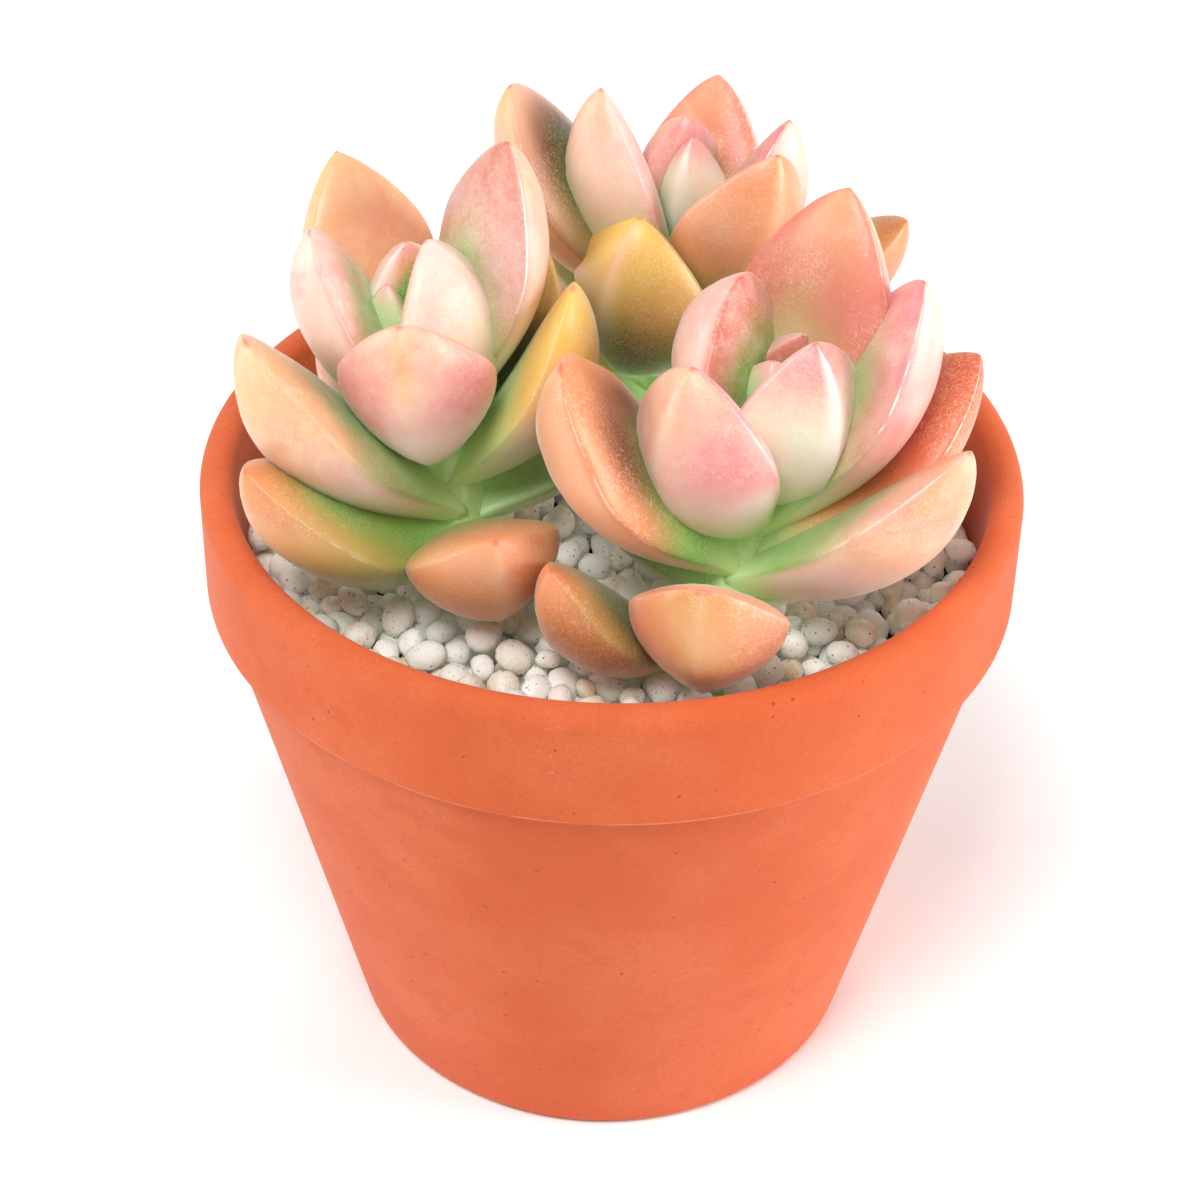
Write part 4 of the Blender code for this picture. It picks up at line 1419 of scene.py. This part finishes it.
    @staticmethod
    def _turns(chance: np.random.Generator, count: int) -> np.ndarray:
        """Draw random rotations, mostly about the upright axis, as matrices from unit quaternions.

        Args:
            chance: Source of the random draws.
            count: How many.

        Returns:
            The matrices.
        """
        drawn = chance.normal(size=(4, count)) * np.array((1.0, 0.35, 0.35, 1.0))[:, None]
        w, x, y, z = drawn / np.linalg.norm(drawn, axis=0)
        return np.stack(
            (
                np.stack((1 - 2 * (y * y + z * z), 2 * (x * y - z * w), 2 * (x * z + y * w)), -1),
                np.stack((2 * (x * y + z * w), 1 - 2 * (x * x + z * z), 2 * (y * z - x * w)), -1),
                np.stack((2 * (x * z - y * w), 2 * (y * z + x * w), 1 - 2 * (x * x + y * y)), -1),
            ),
            -2,
        )

    def build(self, blocks: np.ndarray) -> bpy.types.Object:
        """Build every pebble: a ball stretched along three random axes, with low lumps from slow waves.

        Args:
            blocks: Points on the leaves that pebbles keep clear of.

        Returns:
            The piece.
        """
        chance = np.random.default_rng(self.seed)
        centre, radius = self.settle(chance, blocks)
        ball, faces = self._ball()
        stretch = chance.uniform(self.flattest, self.fullest, (self.count, 3))[:, None]
        waves = chance.normal(size=(self.count, 3, 3)) * 1.7
        shift = chance.uniform(0, 6.28, (self.count, 3, 1))
        lumps = 1 + self.lumps * np.sin(waves @ ball.T + shift).sum(1)[..., None]
        shapes = ball[None] * stretch * lumps * radius[:, None, None] * self.swell
        shapes = np.einsum("nij,nkj->nki", self._turns(chance, self.count), shapes) + centre[:, None]
        offsets = (np.arange(self.count) * len(ball))[:, None, None]
        tone = chance.beta(1.2, 2.2, self.count)
        warmth = np.maximum(chance.uniform(-1.2, 1.0, self.count), 0)
        stone = np.repeat(np.stack((tone, warmth, tone * 0), -1), len(ball), axis=0)
        draft = Draft("pebbles")
        draft.add(shapes.reshape(-1, 3), (faces[None] + offsets).reshape(-1, 4).tolist(), stone=stone)
        piece = draft.build([WornPebble().material()])
        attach(piece, "root")
        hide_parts("gravel")
        LOG.info("pebbles' tops reach %.1f mm", (centre[:, 2] + radius).max())
        return piece


@dataclass(frozen=True)
class Softbox:
    """A soft square light: where it stands in metres, how wide and strong it is, and what it is aimed at."""

    name: str
    place: tuple[float, float, float]
    width: float
    power: float
    aim: tuple[float, float, float] = (0.0, 0.0, 0.08)

    def build(self) -> None:
        """Set the light up, aimed at the plant."""
        light = bpy.data.lights.new(self.name, "AREA")
        light.shape = "SQUARE"
        light.size = self.width
        light.energy = self.power
        lamp = bpy.data.objects.new(self.name, light)
        lamp.location = self.place
        lamp.rotation_euler = (Vector(self.aim) - Vector(self.place)).to_track_quat("-Z", "Y").to_euler()
        bpy.context.scene.collection.objects.link(lamp)


@dataclass
class Studio:
    """A pale floor, soft light from all round, and the camera at the photograph's angle."""

    elevation: float = 37.943
    roll: float = 1.133
    distance: float = 418.556
    target: tuple[float, float, float] = (-1.301, 0.0, 66.834)
    lens: float = 90.47
    floor: float = 3.0
    daylight: float = 0.36
    sky: tuple[float, float, float, float] = (1.0, 1.0, 1.0, 1.0)
    boxes: tuple[Softbox, ...] = (
        Softbox("key_light", (-0.15, -0.42, 0.85), 0.3, 5.2),
        Softbox("right_light", (0.72, -0.12, 0.3), 0.4, 4.4),
        Softbox("left_light", (-0.75, 0.05, 0.3), 0.4, 2.4),
        Softbox("back_light", (0.1, 0.8, 0.5), 0.5, 1.8),
    )

    def build_camera(self) -> None:
        """Place the camera: it looks along +Y, down by the elevation, turned about its view by the roll."""
        tilt, roll = math.radians(self.elevation), math.radians(self.roll)
        forward = Vector((0.0, math.cos(tilt), -math.sin(tilt)))
        upright = Vector((0.0, math.sin(tilt), math.cos(tilt)))
        level = Vector((1.0, 0.0, 0.0))
        right = level * math.cos(roll) + upright * math.sin(roll)
        up = upright * math.cos(roll) - level * math.sin(roll)
        camera = bpy.data.cameras.new("camera")
        camera.lens = self.lens
        camera.clip_start = 0.01
        viewer = bpy.data.objects.new("camera", camera)
        rotation = Matrix((right, up, -forward)).transposed().to_4x4()
        place = (Vector(self.target) - forward * self.distance) * MM
        viewer.matrix_world = Matrix.Translation(place) @ rotation
        bpy.context.scene.collection.objects.link(viewer)
        bpy.context.scene.camera = viewer

    def build_floor(self) -> None:
        """Lay the floor as one wide square."""
        half = self.floor / MM / 2
        corners = np.array(((-half, -half, 0.0), (half, -half, 0.0), (half, half, 0.0), (-half, half, 0.0)))
        draft = Draft("floor")
        draft.add(corners, [[0, 1, 2, 3]])
        draft.build([PaleFloor().material()])

    def build(self) -> None:
        """Set up the camera, the floor, the daylight and the lights."""
        self.build_camera()
        self.build_floor()
        world = bpy.data.worlds.new("daylight")
        world.use_nodes = True
        sky = world.node_tree.nodes["Background"].inputs
        sky["Color"].default_value = self.sky
        sky["Strength"].default_value = self.daylight
        bpy.context.scene.world = world
        bpy.context.scene.view_settings.view_transform = "Standard"
        for box in self.boxes:
            box.build()


def low_leaf_points(below: float = 87.0, steps: int = 24) -> np.ndarray:
    """Collect points on the leaves that hang near the pebbles.

    Args:
        below: The height under which a point counts.
        steps: Points along each leaf, and around it.

    Returns:
        Points in millimetres, one row each.
    """
    found = []
    around = np.linspace(0, 2 * math.pi, steps, endpoint=False)
    along, angle = np.meshgrid(np.linspace(0.1, 1, steps), around)
    for plant in PLANTS:
        for leaf in plant.leaves:
            points = leaf.surface(plant.path(leaf.height), along, angle).reshape(-1, 3)
            found.append(points[points[:, 2] < below])
    return np.concatenate(found)


def main() -> None:
    """Build every piece and report it."""
    logging.basicConfig(level=logging.INFO, format="%(name)s: %(message)s")
    pot = Pot()
    pieces = [pot.build()]
    leaf_skin, stem_skin = LeafSkin().material(), StemSkin().material()
    pieces += [plant.build([leaf_skin, stem_skin]) for plant in PLANTS]
    pieces.append(PebbleBed(pot).build(low_leaf_points()))
    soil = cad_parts["soil"]
    soil.data.materials.clear()
    soil.data.materials.append(SoilCrumb().material())
    for piece in pieces:
        LOG.info("%s has %d faces", piece.name, len(piece.data.polygons))
    Studio().build()


if __name__ == "__main__":
    main()
